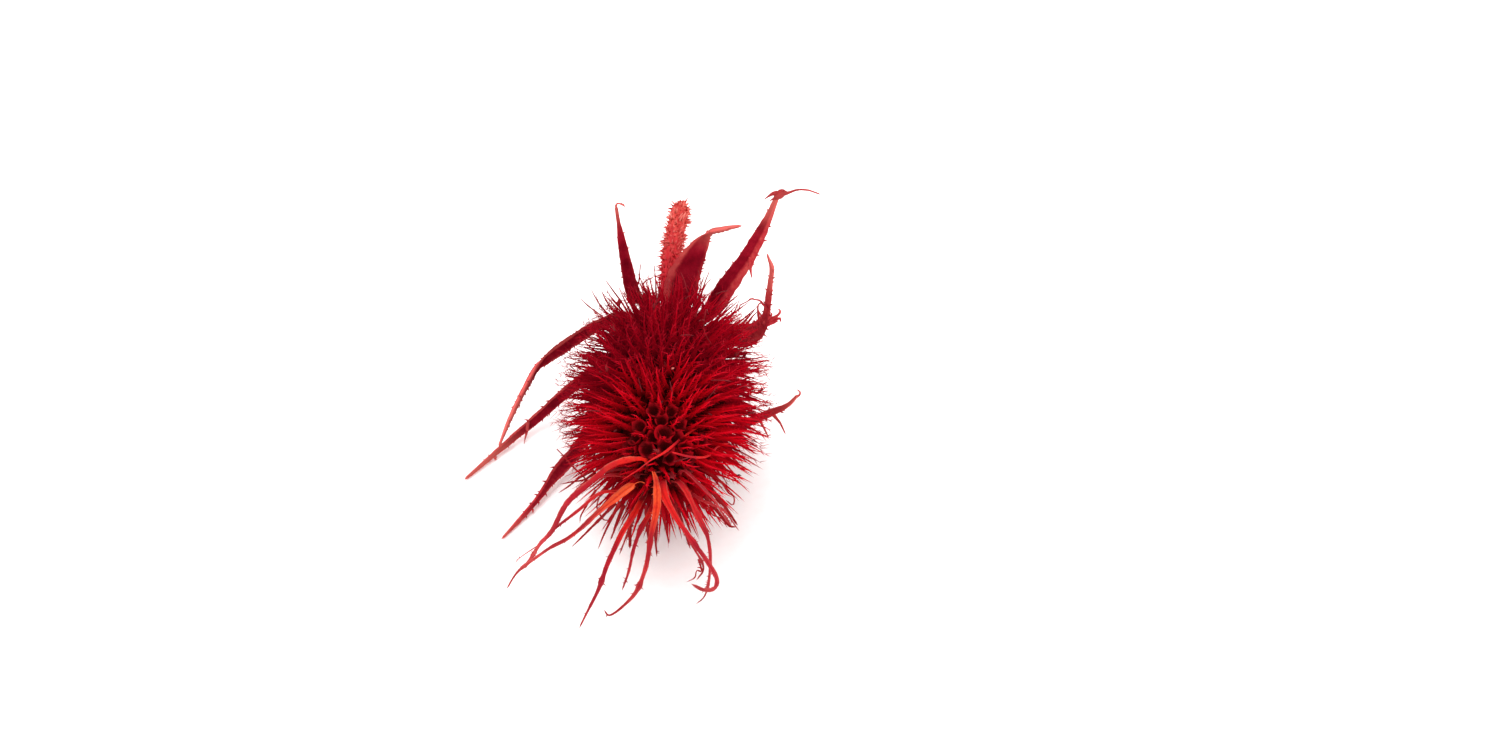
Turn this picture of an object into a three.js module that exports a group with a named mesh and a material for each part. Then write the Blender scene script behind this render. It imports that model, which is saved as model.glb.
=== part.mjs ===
// A dried teasel seed head, dyed red, lying on its side: the spiny head with the long awns of its
// crown, the whorl of bracts round its base, and the prickly stub of stem that it was cut with.
//
// Millimetres, +Z up. +Y runs along the head's axis, from the crown towards the stem's cut end.
// The origin is the worn foot of one of the spines that the head stands on.

import * as THREE from "three";
import { ConvexHull } from "three/addons/math/ConvexHull.js";

// Where the head lies
const AXIS_HEIGHT = 20.6;
const HEAD_CENTRE = new THREE.Vector3(0.355, 0.367, AXIS_HEIGHT); // one spine's foot is at the origin
const SURFACE_Z = 0;

// The receptacle: the egg-shaped core that every spine grows from
const CORE_HALF_LENGTH = 26;
const CORE_RADIUS = 12;
const CORE_FULLNESS = 0.1; // how much fuller the stem's half is than the crown's
const BASE_FLAT_ANGLE = THREE.MathUtils.degToRad(27); // polar angle of the flat that meets the stem
const BASE_FLAT_CORNERS = 14;

// The spines, one to each seed, in the spiral of a flower head
const SPINE_COUNT = 960;
const SPINE_FIRST_ANGLE = THREE.MathUtils.degToRad(32);
const SPINE_LAST_ANGLE = THREE.MathUtils.degToRad(144);
const SPINE_LENGTHS = [9.8, 11, 11.4, 11.3, 11.2, 11.8]; // evenly spaced from base to crown
const SPINE_LEANS = [0.15, 0.22, 0.24, 0.24, 0.22, 0.18]; // how far each leans from its normal to the crown
const SPINE_WIDTH = 1.35;
const SPINE_DEPTH = 0.95;
const SPINE_LENGTH_SPREAD = 0.09;
const SPINE_TURN_SPREAD = 0.06;
const SPINE_CLEARANCE = 0.9; // kept to what passes between the spines
const SPINE_SHORTEST = 0.3; // the least share of its length that a crowded spine keeps

// The crown: longer awns at the tip, in rings from the middle out, each ring clockwise from the top
// as one looks at the crown. An awn has the points that it passes through, relative to the head's
// centre, or null where it is short and straight.
const CROWN_RINGS = [
  {
    radius: 1.35,
    awns: [
      [[0.3, -30, 4], [0.5, -34, 2.1], [0.3, -37, -1.4], [-0.6, -40, -4.4], [-1.8, -42.5, -8.8],
        [-4.1, -45, -13.7], [-8.6, -47.5, -16.6]],
      [[2.4, -30.5, -0.2], [5.4, -34.5, -3.4], [8.8, -37, -6.4], [11.5, -39, -8.9], [12.9, -41, -11.5],
        [12.4, -41.8, -13.7], [10.6, -41.8, -14.9], [7.7, -41.2, -14]],
      [[-3.6, -29.8, 1.2], [-7.7, -32, 1], [-12.8, -35, -2.5], [-19.5, -39, -5.5], [-26.5, -43.5, -8.3],
        [-28.2, -44.5, -11.8]],
    ],
  },
  {
    radius: 3,
    awns: [
      null,
      null,
      [[6.4, -29.5, -1.6], [9.2, -30.6, -5], [10.8, -32.5, -7.5], [11, -35.5, -11], [10.7, -38.5, -15],
        [8.6, -40.5, -18.3]],
      [[4.6, -30, -5.6], [6.9, -32, -9.9], [8.7, -33.4, -14.6], [7.2, -34.6, -17]],
      [[-1.2, -31.4, -2.8], [-2.9, -35, -4.4], [-4.1, -37.5, -7.6], [-5, -40, -11.2], [-6.2, -41.6, -14]],
      [[-4.6, -33, -2.6], [-6.8, -36, -5.1], [-8.9, -40, -8.6], [-10.4, -43, -11.7], [-14.1, -49, -17.5]],
      [[-7.7, -28, 4.4], [-12.4, -29.4, 3.3], [-16.9, -31.5, -0.2], [-20.2, -34.5, -4.5], [-24.6, -39, -9.7],
        [-28.6, -42.4, -14.6]],
      null,
    ],
  },
  {
    radius: 4.7,
    awns: [
      null,
      null,
      null,
      [[8.7, -27.5, 1.6], [11.4, -29, -1], [13.8, -30.5, -3.5], [15.2, -32, -5.3]],
      [[9, -26.6, -3], [13.4, -27.6, -4.8], [16.4, -29, -8.4]],
      null,
      null,
      null,
      [[-9.4, -27.6, -3.4], [-14.4, -30.4, -5.6], [-20, -34.6, -8.4], [-24.6, -39.6, -12.8]],
      [[-10, -24.6, 1.2], [-15.4, -24, -2], [-19, -24, -7]],
      null,
      null,
    ],
  },
];
const CROWN_AWN_LENGTH = 14; // of the straight ones
const CROWN_WIDTH = 1.7;
const CROWN_DEPTH = 1.15;
const CROWN_TAPER = [0.92, 0.8, 0.68, 0.58, 0.5, 0.42, 0.36]; // share of the root's size at each joint

// The stem, cut short. It widens into the collar that the bracts grow from.
const COLLAR_RADIUS = 4.8;
const COLLAR_LENGTH = 4.6;
const SHOULDER_LENGTH = 3.4;
const STEM_RADIUS = 1.8;
const STEM_PATH = [[0, 23.5, 0], [0, 29, 0], [-1.3, 41, -0.4], [-2, 56, -1.2], [-1.3, 80, -4]];
const STEM_SIDES = 12;
const STEM_RING_STEP = 1.15;
const STEM_RIB_DEPTH = 0.1;
const PRICKLE_FIRST = 7; // how far from the head the stem's prickles begin
const PRICKLE_HEIGHTS = [0.5, 1.3];

// The bracts, clockwise from the top as one looks at the crown. Each point is relative to the head's
// centre and is followed by the bract's width there.
const BRACTS = [
  {
    name: "bract_top_broad",
    points: [[0.3, 25.2, 5.6, 3], [0.6, 27, 6.6, 5], [1.4, 28, 8.9, 7.4], [2.7, 29, 13.7, 7],
      [4.2, 29.6, 17, 5.8], [6, 30, 20.4, 4], [7.9, 30.4, 22.6, 2], [10.6, 31, 23.2, 1.3],
      [14.8, 32, 23.7, 0.7]],
  },
  {
    name: "bract_top_right",
    points: [[3.9, 26.9, 3.6, 2.4], [6.4, 26.7, 3.6, 3.2], [8.3, 26.8, 5.2, 3.8], [10, 27, 8.1, 4.3],
      [12.2, 27.4, 12, 4.2], [15.8, 27.4, 18.1, 3.5], [18.6, 27, 24.3, 2.9], [20.7, 26, 30.1, 1.8],
      [22.8, 24.4, 37.1, 0.9]],
  },
  {
    name: "bract_right_bent",
    points: [[5.3, 25.4, -0.5, 2.8], [8.5, 26.6, -1.2, 3.8], [12, 26.2, -0.8, 4.6], [15.8, 24.6, 0.6, 4.5],
      [19.4, 22.4, 4, 3.4], [20.8, 21.4, 7.3, 2], [21, 20.8, 11.4, 1.7], [21.5, 20.2, 17.4, 1.5],
      [22, 19.8, 22.1, 1.1], [21.1, 19.2, 25.5, 0.7]],
  },
  {
    name: "bract_right_low",
    points: [[4.3, 26.9, -3.05, 2], [9.5, 27, -9, 2.4], [12.8, 21.6, -14.4, 2.4], [14.6, 16, -16, 2.3],
      [16, 12.6, -15, 2.2], [17.8, 11, -12.6, 2.2], [21.7, 9, -8.7, 1.9], [25.3, 7, -5, 1.2],
      [27.6, 5.8, -1.1, 0.7]],
  },
  {
    name: "bract_under_right",
    points: [[1.8, 25.4, -4.95, 2], [3.8, 29.2, -10.2, 2.3], [7, 36, -16.6, 1.9], [10.2, 43.5, -19.9, 0.8]],
  },
  {
    name: "bract_under_left",
    points: [[-1.8, 26.9, -4.95, 2], [-5, 30, -10.3, 2.2], [-9, 34.4, -15.8, 1.8], [-12.4, 39, -19.4, 0.8]],
  },
  {
    name: "bract_left_floor",
    points: [[-3.9, 25.4, -3.5, 2], [-8.4, 26, -11.3, 2.4], [-13.5, 19, -16.2, 2.6], [-17.5, 11, -16.8, 2.6],
      [-20.9, 3, -17.3, 2.3], [-23.3, -1, -17.6, 1.8], [-27.1, -7, -19.2, 1.5], [-32.2, -18.2, -20.2, 0.7]],
  },
  {
    name: "bract_left_low",
    points: [[-5.15, 26.9, -1.1, 2], [-10.5, 27.5, -5.5, 2.5], [-17.2, 26, -11.2, 2.8],
      [-20.9, 25, -13.7, 2.8], [-25.2, 22, -16.1, 2.7], [-28.9, 18, -17.7, 2.4], [-34.7, 10.5, -18.9, 1.7],
      [-43, -1.4, -20.1, 0.7]],
  },
  {
    name: "bract_left_arched",
    points: [[-4.9, 25.4, 1.8, 2], [-8, 26.4, 3.2, 2.4], [-11.3, 26.2, 3.7, 2.7], [-14.5, 26, 2.5, 2.8],
      [-19.3, 25, 0, 2.8], [-23.8, 22, -1.9, 2.7], [-26.4, 18.5, -3, 2.4], [-28.2, 15.5, -3.4, 1.3],
      [-30.2, 10, -4.6, 1.1], [-32.4, 3, -5.9, 0.9], [-34.4, -6, -7.1, 0.6]],
  },
  {
    name: "bract_top_left",
    points: [[-3, 26.9, 4.4, 2.2], [-5.4, 27.9, 6.2, 2.8], [-7.8, 27.8, 8, 3.1], [-8.8, 27.4, 11, 3.1],
      [-9.5, 26.6, 16.7, 2.6], [-10.2, 25.4, 23.6, 1.9], [-10.6, 24.2, 29.1, 0.9], [-10.9, 23, 34.2, 0.7]],
  },
];
const BRACT_STATION_STEP = 2.4;
const BRACT_THICKNESS = 0.7;
const BRACT_KEEL = 0.2; // depth of the keel, as a share of the blade's width
const BRACT_TOOTH_STEP = 5.6;
const BRACT_TOOTH_HALF_BASE = 0.55;
const BRACT_TOOTH_SIZES = [0.45, 1.25];
const BRACT_TOOTHED_SHARE = 0.82; // the tip beyond this is bare

const CORE_COLOUR = "#7d0611";
const BRACT_COLOUR = "#8f2a2c";
const STEM_COLOUR = "#c33a33";
const UP = new THREE.Vector3(0, 0, 1);
const TO_CROWN = new THREE.Vector3(0, -1, 0);
const GOLDEN_ANGLE = Math.PI * (3 - Math.sqrt(5));

// A seeded random number from 0 to 1, the same on every run.
function seededRandom(seed) {
  let state = seed;
  return () => {
    state = (state + 0x6d2b79f5) | 0;
    let t = Math.imul(state ^ (state >>> 15), 1 | state);
    t = (t + Math.imul(t ^ (t >>> 7), 61 | t)) ^ t;
    return ((t ^ (t >>> 14)) >>> 0) / 4294967296;
  };
}

// The value at share t of a list of evenly spaced values.
function along(values, t) {
  const place = THREE.MathUtils.clamp(t, 0, 1) * (values.length - 1);
  const index = Math.min(Math.floor(place), values.length - 2);
  return THREE.MathUtils.lerp(values[index], values[index + 1], place - index);
}

function placed([x, y, z]) {
  return new THREE.Vector3(x, y, z).add(HEAD_CENTRE);
}

function curveThrough(vectors) {
  return new THREE.CatmullRomCurve3(vectors, false, "centripetal");
}

// A bract's midrib, and its width at a share of the way along it.
function bractPath(points) {
  const curve = curveThrough(points.map(placed));
  const shares = [0];
  for (let i = 1; i < points.length; i++) {
    shares.push(shares[i - 1] + placed(points[i]).distanceTo(placed(points[i - 1])));
  }
  const widthAt = (share) => {
    const at = share * shares.at(-1);
    const next = Math.max(1, shares.findIndex((reached) => reached >= at));
    const part = (at - shares[next - 1]) / (shares[next] - shares[next - 1]);
    return THREE.MathUtils.lerp(points[next - 1][3], points[next][3], part);
  };
  return { curve, widthAt };
}

function addTriangle(positions, a, b, c) {
  positions.push(...a.toArray(), ...b.toArray(), ...c.toArray());
}

// Joins two rings of corners, which turn the same way, with two triangles to a side.
function addSides(positions, lower, upper) {
  lower.forEach((corner, i) => {
    const next = (i + 1) % lower.length;
    addTriangle(positions, corner, lower[next], upper[next]);
    addTriangle(positions, corner, upper[next], upper[i]);
  });
}

function addPoint(positions, ring, tip) {
  ring.forEach((corner, i) => addTriangle(positions, corner, ring[(i + 1) % ring.length], tip));
}

function meshOf(name, positions, colour, roughness) {
  const geometry = new THREE.BufferGeometry();
  geometry.setAttribute("position", new THREE.Float32BufferAttribute(positions, 3));
  geometry.computeVertexNormals();
  const material = new THREE.MeshStandardMaterial({ color: colour, roughness, metalness: 0 });
  const mesh = new THREE.Mesh(geometry, material);
  mesh.name = name;
  return mesh;
}

// The core's surface, by the polar angle from the stem's end and the turn round the axis from the top.
function coreRadius(polar) {
  return CORE_RADIUS * Math.sin(polar) * (1 + CORE_FULLNESS * Math.cos(polar));
}

function corePoint(polar, turn) {
  const radius = coreRadius(polar);
  return new THREE.Vector3(
    HEAD_CENTRE.x + radius * Math.sin(turn),
    HEAD_CENTRE.y + CORE_HALF_LENGTH * Math.cos(polar),
    HEAD_CENTRE.z + radius * Math.cos(turn),
  );
}

function coreTangent(polar) {
  const radial = CORE_RADIUS * (Math.cos(polar) + CORE_FULLNESS * Math.cos(2 * polar));
  return { axial: -CORE_HALF_LENGTH * Math.sin(polar), radial };
}

function coreNormal(polar, turn) {
  const { axial, radial } = coreTangent(polar);
  return new THREE.Vector3(-axial * Math.sin(turn), radial, -axial * Math.cos(turn)).normalize();
}

// The same place on a ball that the core's skin maps to with every small shape kept, so that the
// ball's hull joins each root to its true neighbours.
function ballPoint(polar, turn) {
  const steps = 60;
  const step = (polar - Math.PI / 2) / steps;
  let distance = 0;
  for (let i = 0; i < steps; i++) {
    const angle = Math.PI / 2 + (i + 0.5) * step;
    const { axial, radial } = coreTangent(angle);
    distance += (Math.hypot(axial, radial) / coreRadius(angle)) * step;
  }
  return new THREE.Vector3().setFromSphericalCoords(1, 2 * Math.atan(Math.exp(distance)), turn);
}

function coreCorner(polar, turn) {
  return { point: corePoint(polar, turn), mapped: ballPoint(polar, turn) };
}

// The three corners on the core that a spine is drawn out from: two side by side, and the keel's
// on the stem's side of them.
function rootCorners(polar, turn, width, depth) {
  const { axial, radial } = coreTangent(polar);
  const polarStep = depth / Math.hypot(axial, radial);
  const turnStep = width / 2 / coreRadius(polar);
  return [
    coreCorner(polar + polarStep / 3, turn - turnStep),
    coreCorner(polar + polarStep / 3, turn + turnStep),
    coreCorner(polar - (2 * polarStep) / 3, turn),
  ];
}

// Polar angles that give each root the same share of the core's area.
function evenPolarAngles(count, first, last) {
  const steps = 400;
  const areas = [0];
  const angleAt = (i) => THREE.MathUtils.lerp(first, last, i / steps);
  for (let i = 1; i <= steps; i++) {
    const { axial, radial } = coreTangent(angleAt(i));
    areas.push(areas[i - 1] + coreRadius(angleAt(i)) * Math.hypot(axial, radial));
  }
  let step = 1;
  return Array.from({ length: count }, (_, index) => {
    const wanted = ((index + 0.5) / count) * areas[steps];
    while (areas[step] < wanted) step++;
    const share = (wanted - areas[step - 1]) / (areas[step] - areas[step - 1]);
    return THREE.MathUtils.lerp(angleAt(step - 1), angleAt(step), share);
  });
}

function crownAwns() {
  return CROWN_RINGS.flatMap(({ radius, awns }) => {
    const polar = Math.PI - Math.asin(radius / (CORE_RADIUS * (1 - CORE_FULLNESS)));
    return awns.map((points, index) => {
      const turn = (index / awns.length) * 2 * Math.PI;
      const root = corePoint(polar, turn);
      const normal = coreNormal(polar, turn);
      const corners = rootCorners(polar, turn, CROWN_WIDTH, CROWN_DEPTH);
      return { corners, root, normal, curve: points && curveThrough([root, ...points.map(placed)]) };
    });
  });
}

// How a bract's blade stands at a share of its length: its middle, the way it runs, and the way its
// hollow face looks, which is towards the head.
function bladeFrame(curve, share) {
  const centre = curve.getPointAt(share);
  const tangent = curve.getTangentAt(share);
  const towardsHead = HEAD_CENTRE.clone().sub(centre);
  const face = towardsHead.addScaledVector(tangent, -towardsHead.dot(tangent)).normalize();
  return { centre, tangent, face };
}

// The points of what passes between the spines, each with the room that it needs round it and, for
// a flat blade, before and behind it.
function obstaclePoints(awns) {
  const bent = awns.filter(({ curve }) => curve).flatMap(({ curve }) => {
    const room = CROWN_DEPTH / 2 + SPINE_CLEARANCE;
    return curve.getSpacedPoints(Math.ceil(curve.getLength())).map((point) => ({ point, room }));
  });
  const blades = BRACTS.flatMap(({ points }) => {
    const { curve, widthAt } = bractPath(points);
    const count = Math.ceil(curve.getLength());
    return Array.from({ length: count + 1 }, (_, index) => {
      const { centre, face } = bladeFrame(curve, index / count);
      const width = widthAt(index / count);
      const before = (BRACT_KEEL * width + BRACT_THICKNESS) / 2 + SPINE_CLEARANCE;
      return { point: centre, room: width / 2 + SPINE_CLEARANCE, face, before };
    });
  });
  return [...bent, ...blades];
}

// The tip of a straight spine, which stops before it comes too near an obstacle.
function freeTip(root, direction, length, obstacles) {
  const shortest = length * SPINE_SHORTEST;
  let reach = shortest;
  const tipAt = (distance) => root.clone().addScaledVector(direction, distance);
  const isClear = (tip) =>
    obstacles.every(({ point, room, face, before }) => {
      const offset = tip.clone().sub(point);
      return offset.length() > room || (face && Math.abs(offset.dot(face)) > before);
    });
  while (reach < length && isClear(tipAt(reach))) reach += 0.5;
  return tipAt(reach < length ? Math.max(shortest, reach - SPINE_CLEARANCE) : length);
}

function spines(obstacles) {
  const random = seededRandom(7);
  const spread = (size) => (random() * 2 - 1) * size;
  return evenPolarAngles(SPINE_COUNT, SPINE_FIRST_ANGLE, SPINE_LAST_ANGLE).map((polar, index) => {
    const turn = index * GOLDEN_ANGLE;
    const share = index / (SPINE_COUNT - 1);
    const direction = coreNormal(polar, turn)
      .addScaledVector(TO_CROWN, along(SPINE_LEANS, share))
      .normalize()
      .add(new THREE.Vector3(spread(1), spread(1), spread(1)).multiplyScalar(SPINE_TURN_SPREAD))
      .normalize();
    const grown = along(SPINE_LENGTHS, share) * (1 + spread(SPINE_LENGTH_SPREAD));
    const tip = freeTip(corePoint(polar, turn), direction, grown, obstacles);
    return { corners: rootCorners(polar, turn, SPINE_WIDTH, SPINE_DEPTH), tip };
  });
}

// A straight spine, worn flat where it would reach below the surface that the head lies on.
function addSpine(positions, ring, { tip }) {
  if (tip.z >= SURFACE_Z) {
    addPoint(positions, ring, tip);
    return;
  }
  const foot = ring.map((corner) => {
    const worn = corner.clone().lerp(tip, (corner.z - SURFACE_Z) / (corner.z - tip.z));
    return worn.setZ(SURFACE_Z);
  });
  addSides(positions, ring, foot);
  addTriangle(positions, ...foot);
}

// A long awn along its curve. Its rings turn with the curve and grow smaller towards the tip.
function addAwn(positions, ring, { curve, normal }) {
  const root = ring.reduce((sum, corner) => sum.add(corner), new THREE.Vector3()).divideScalar(3);
  const offsets = ring.map((corner) => corner.clone().sub(root));
  const turned = new THREE.Quaternion();
  let heading = normal;
  let lower = ring;
  CROWN_TAPER.forEach((size, index) => {
    const share = (index + 1) / (CROWN_TAPER.length + 1);
    const tangent = curve.getTangentAt(share);
    turned.premultiply(new THREE.Quaternion().setFromUnitVectors(heading, tangent));
    heading = tangent;
    const centre = curve.getPointAt(share);
    const upper = offsets.map((offset) =>
      offset.clone().applyQuaternion(turned).multiplyScalar(size).add(centre),
    );
    addSides(positions, lower, upper);
    lower = upper;
  });
  addPoint(positions, lower, curve.getPointAt(1));
}

// The head. The hull of all the root corners is the core's skin; a face of it whose corners are one
// root is drawn out into that spine or awn, and every other face stays as the core between them.
function spinyHead() {
  const awns = crownAwns();
  const obstacles = obstaclePoints(awns);
  for (const awn of awns.filter(({ curve }) => !curve)) {
    awn.tip = freeTip(awn.root, awn.normal, CROWN_AWN_LENGTH, obstacles);
  }
  const grown = [...spines(obstacles), ...awns];
  const baseFlat = Array.from({ length: BASE_FLAT_CORNERS }, (_, index) =>
    coreCorner(BASE_FLAT_ANGLE, (index / BASE_FLAT_CORNERS) * 2 * Math.PI),
  );
  const cornerOf = new Map(baseFlat.map(({ point, mapped }) => [mapped, { point }]));
  for (const owner of grown) {
    for (const { point, mapped } of owner.corners) cornerOf.set(mapped, { point, owner });
  }
  const positions = [];
  let drawnOut = 0;
  for (const face of new ConvexHull().setFromPoints([...cornerOf.keys()]).faces) {
    const corners = [0, 1, 2].map((index) => cornerOf.get(face.getEdge(index).head().point));
    const ring = corners.map(({ point }) => point);
    const { owner } = corners[0];
    if (owner && corners.every((corner) => corner.owner === owner)) {
      const add = owner.curve ? addAwn : addSpine;
      add(positions, ring, owner);
      drawnOut++;
    } else {
      addTriangle(positions, ...ring);
    }
  }
  if (drawnOut !== grown.length) throw new Error(`${grown.length - drawnOut} roots aren't faces of the core`);
  return meshOf("spiny_head", positions, CORE_COLOUR, 0.7);
}

// Lengths along a bract where its outline has a corner, each with the size of its teeth there. A row
// of teeth has a plain station on either side of it.
function bractStations(length, random) {
  const [smallest, largest] = BRACT_TOOTH_SIZES;
  const size = () => (random() < 0.3 ? 0 : THREE.MathUtils.lerp(smallest, largest, random() ** 2));
  const step = () => BRACT_TOOTH_STEP * (0.7 + 0.6 * random());
  const plain = (at) => ({ at, left: 0, right: 0, keel: 0 });
  const teeth = [];
  for (let at = BRACT_TOOTH_STEP; at < length * BRACT_TOOTHED_SHARE; at += step()) {
    teeth.push({ at, left: size(), right: size(), keel: size() * 0.8 });
  }
  const stations = teeth.flatMap((row) => [
    plain(row.at - BRACT_TOOTH_HALF_BASE),
    row,
    plain(row.at + BRACT_TOOTH_HALF_BASE),
  ]);
  for (let at = 0; at < length; at += BRACT_STATION_STEP) {
    if (teeth.every((row) => Math.abs(row.at - at) > 2 * BRACT_TOOTH_HALF_BASE)) stations.push(plain(at));
  }
  return stations.sort((a, b) => a.at - b.at);
}

// A bract: a narrow blade with a keel, its hollow face towards the head, toothed along both edges
// and the keel, and drawn out to a point.
function bract({ name, points }, index) {
  const random = seededRandom(100 + index);
  const { curve, widthAt } = bractPath(points);
  const length = curve.getLength();
  const rings = bractStations(length, random).map(({ at, left, right, keel }) => {
    const share = at / length;
    const { centre, tangent, face } = bladeFrame(curve, share);
    const across = new THREE.Vector3().crossVectors(tangent, face);
    const halfWidth = widthAt(share) / 2;
    const keelDepth = BRACT_KEEL * widthAt(share);
    const thickness = BRACT_THICKNESS * Math.min(1, (1 - share) * 6 + 0.4);
    const corner = (side, out, tooth) =>
      centre
        .clone()
        .addScaledVector(across, side)
        .addScaledVector(face, out)
        .addScaledVector(tangent, tooth * 0.15);
    return [
      corner(-halfWidth - left, keelDepth / 2, left),
      corner(0, thickness / 2 - keelDepth / 2, 0),
      corner(halfWidth + right, keelDepth / 2, right),
      corner(0, -keelDepth / 2 - thickness / 2 - keel, 0),
    ];
  });
  const positions = [];
  const [left, groove, right, keel] = rings[0];
  addTriangle(positions, left, keel, right);
  addTriangle(positions, left, right, groove);
  rings.slice(1).forEach((ring, i) => addSides(positions, rings[i], ring));
  addPoint(positions, rings.at(-1), curve.getPointAt(1));
  return meshOf(name, positions, BRACT_COLOUR, 0.65);
}

// The stem's radius at a length from the head: the collar, its shoulder, and the stem.
function stemRadius(length) {
  const shoulder = THREE.MathUtils.smoothstep(length, COLLAR_LENGTH, COLLAR_LENGTH + SHOULDER_LENGTH);
  return THREE.MathUtils.lerp(COLLAR_RADIUS, STEM_RADIUS, shoulder);
}

function stemRings(curve, count) {
  return Array.from({ length: count + 1 }, (_, row) => {
    const share = row / count;
    const centre = curve.getPointAt(share);
    const tangent = curve.getTangentAt(share);
    const across = new THREE.Vector3().crossVectors(UP, tangent).normalize();
    const upward = new THREE.Vector3().crossVectors(tangent, across);
    return Array.from({ length: STEM_SIDES }, (_, side) => {
      const rib = side % 2 ? STEM_RIB_DEPTH : -STEM_RIB_DEPTH;
      const radius = stemRadius(share * curve.getLength()) + rib;
      const turn = (side / STEM_SIDES) * 2 * Math.PI;
      return centre
        .clone()
        .addScaledVector(across, radius * Math.cos(turn))
        .addScaledVector(upward, radius * Math.sin(turn));
    });
  });
}

// The stem, from the collar to the cut end. Every second facet of its skin is raised into a prickle.
function stem() {
  const random = seededRandom(31);
  const curve = curveThrough(STEM_PATH.map(placed));
  const rowCount = Math.round(curve.getLength() / STEM_RING_STEP);
  const rings = stemRings(curve, rowCount);
  const positions = [];
  addPoint(positions, rings[0].toReversed(), curve.getPointAt(0));
  rings.slice(1).forEach((upper, row) => {
    const lower = rings[row];
    const prickly = row * STEM_RING_STEP > PRICKLE_FIRST;
    lower.forEach((corner, side) => {
      const next = (side + 1) % STEM_SIDES;
      const facet = [corner, lower[next], upper[next]];
      if (prickly && (row + side) % 2) {
        const triangle = new THREE.Triangle(...facet);
        const tip = triangle.getMidpoint(new THREE.Vector3());
        const height = THREE.MathUtils.lerp(...PRICKLE_HEIGHTS, random());
        tip.addScaledVector(triangle.getNormal(new THREE.Vector3()), height);
        addPoint(positions, facet, tip);
      } else {
        addTriangle(positions, ...facet);
      }
      addTriangle(positions, corner, upper[next], upper[side]);
    });
  });
  addPoint(positions, rings.at(-1), curve.getPointAt(1));
  return meshOf("stem", positions, STEM_COLOUR, 0.75);
}

const teasel = new THREE.Group();
teasel.name = "teasel_seed_head";
teasel.add(spinyHead(), ...BRACTS.map(bract), stem());

export default teasel;
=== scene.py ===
import math
import random

import bmesh
import bpy
from mathutils import Matrix, Quaternion, Vector, kdtree, noise


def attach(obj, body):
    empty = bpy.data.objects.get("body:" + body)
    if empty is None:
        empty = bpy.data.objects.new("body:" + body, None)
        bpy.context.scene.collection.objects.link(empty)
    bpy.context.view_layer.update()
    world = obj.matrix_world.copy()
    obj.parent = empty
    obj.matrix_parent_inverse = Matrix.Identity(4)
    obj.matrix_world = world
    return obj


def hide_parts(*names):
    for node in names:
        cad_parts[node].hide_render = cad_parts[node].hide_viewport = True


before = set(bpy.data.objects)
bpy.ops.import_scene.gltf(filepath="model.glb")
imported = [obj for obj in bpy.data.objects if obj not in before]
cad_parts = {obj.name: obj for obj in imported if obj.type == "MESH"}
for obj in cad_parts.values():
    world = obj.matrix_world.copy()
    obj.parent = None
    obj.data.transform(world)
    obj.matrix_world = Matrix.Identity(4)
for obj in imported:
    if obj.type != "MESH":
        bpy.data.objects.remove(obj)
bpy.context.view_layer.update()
noise.seed_set(1)  # the clock seeds noise_vector otherwise, and no two runs are alike
mm = 0.001
headCentre = Vector((0.355, 0.367, 20.6)) * mm
goldenAngle = math.pi * (3 - math.sqrt(5))
toCrown = Vector((0, -1, 0))


def place(x, y, z):  # a point given in millimetres from the head's centre
    return headCentre + Vector((x, y, z)) * mm


def lerp(a, b, t):
    return a + (b - a) * t


def smooth(low, high, value):
    t = min(1, max(0, (value - low) / (high - low)))
    return t * t * (3 - 2 * t)


def evenShares(count):
    return [step / count for step in range(count + 1)]


def fromList(values, t):  # the value at share t of a list of evenly spaced values
    spot = min(1, max(0, t)) * (len(values) - 1)
    index = min(int(spot), len(values) - 2)
    return lerp(values[index], values[index + 1], spot - index)


# Camera, light and floor
studio = {
    "camera": (32.36, -407.93, 342.9),  # millimetres; the rest is in metres
    "looksAlong": (-0.0277, 0.7929, -0.6088),
    "lens": 60,
    "clip": (0.01, 20),
    "floorSize": 3,
    "floorColour": "#fbf3f1",
    "skyStrength": 1.6,
    "lights": [
        {"name": "key", "spot": (-0.5, 0.7, 1.3), "size": 1.2, "power": 8.8},
        {"name": "fill", "spot": (0.9, -0.9, 1), "size": 1.2, "power": 3},
    ],
}
# Painted glow: light that the thin blades give off themselves, standing in for light through them, in the
# renderer's own numbers
paintedGlow = {
    "none": (0, 0, 0, 1),
    "spine": (0.052, 0.0003, 0.0027, 1),
    "crown": (0.062, 0.0004, 0.0016, 1),
    "leaf": (0.06, 0.004, 0.008, 1),
}


def paint(code):  # a screen colour as the renderer's own numbers
    values = [int(code[i : i + 2], 16) / 255 for i in (1, 3, 5)]
    return (*[v / 12.92 if v <= 0.04045 else ((v + 0.055) / 1.055) ** 2.4 for v in values], 1)


# Materials
class Socket:
    # A node's output that can be added, multiplied and so on like a number.
    def __init__(self, finish, socket):
        self.finish = finish
        self.socket = socket

    def maths(self, operation, first, second):
        return self.finish.node("ShaderNodeMath", {"operation": operation}, {0: first, 1: second})

    def __add__(self, other):
        return self.maths("ADD", self, other)

    def __radd__(self, other):
        return self.maths("ADD", other, self)

    def __sub__(self, other):
        return self.maths("SUBTRACT", self, other)

    def __rsub__(self, other):
        return self.maths("SUBTRACT", other, self)

    def __mul__(self, other):
        return self.maths("MULTIPLY", self, other)

    def __rmul__(self, other):
        return self.maths("MULTIPLY", other, self)


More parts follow.
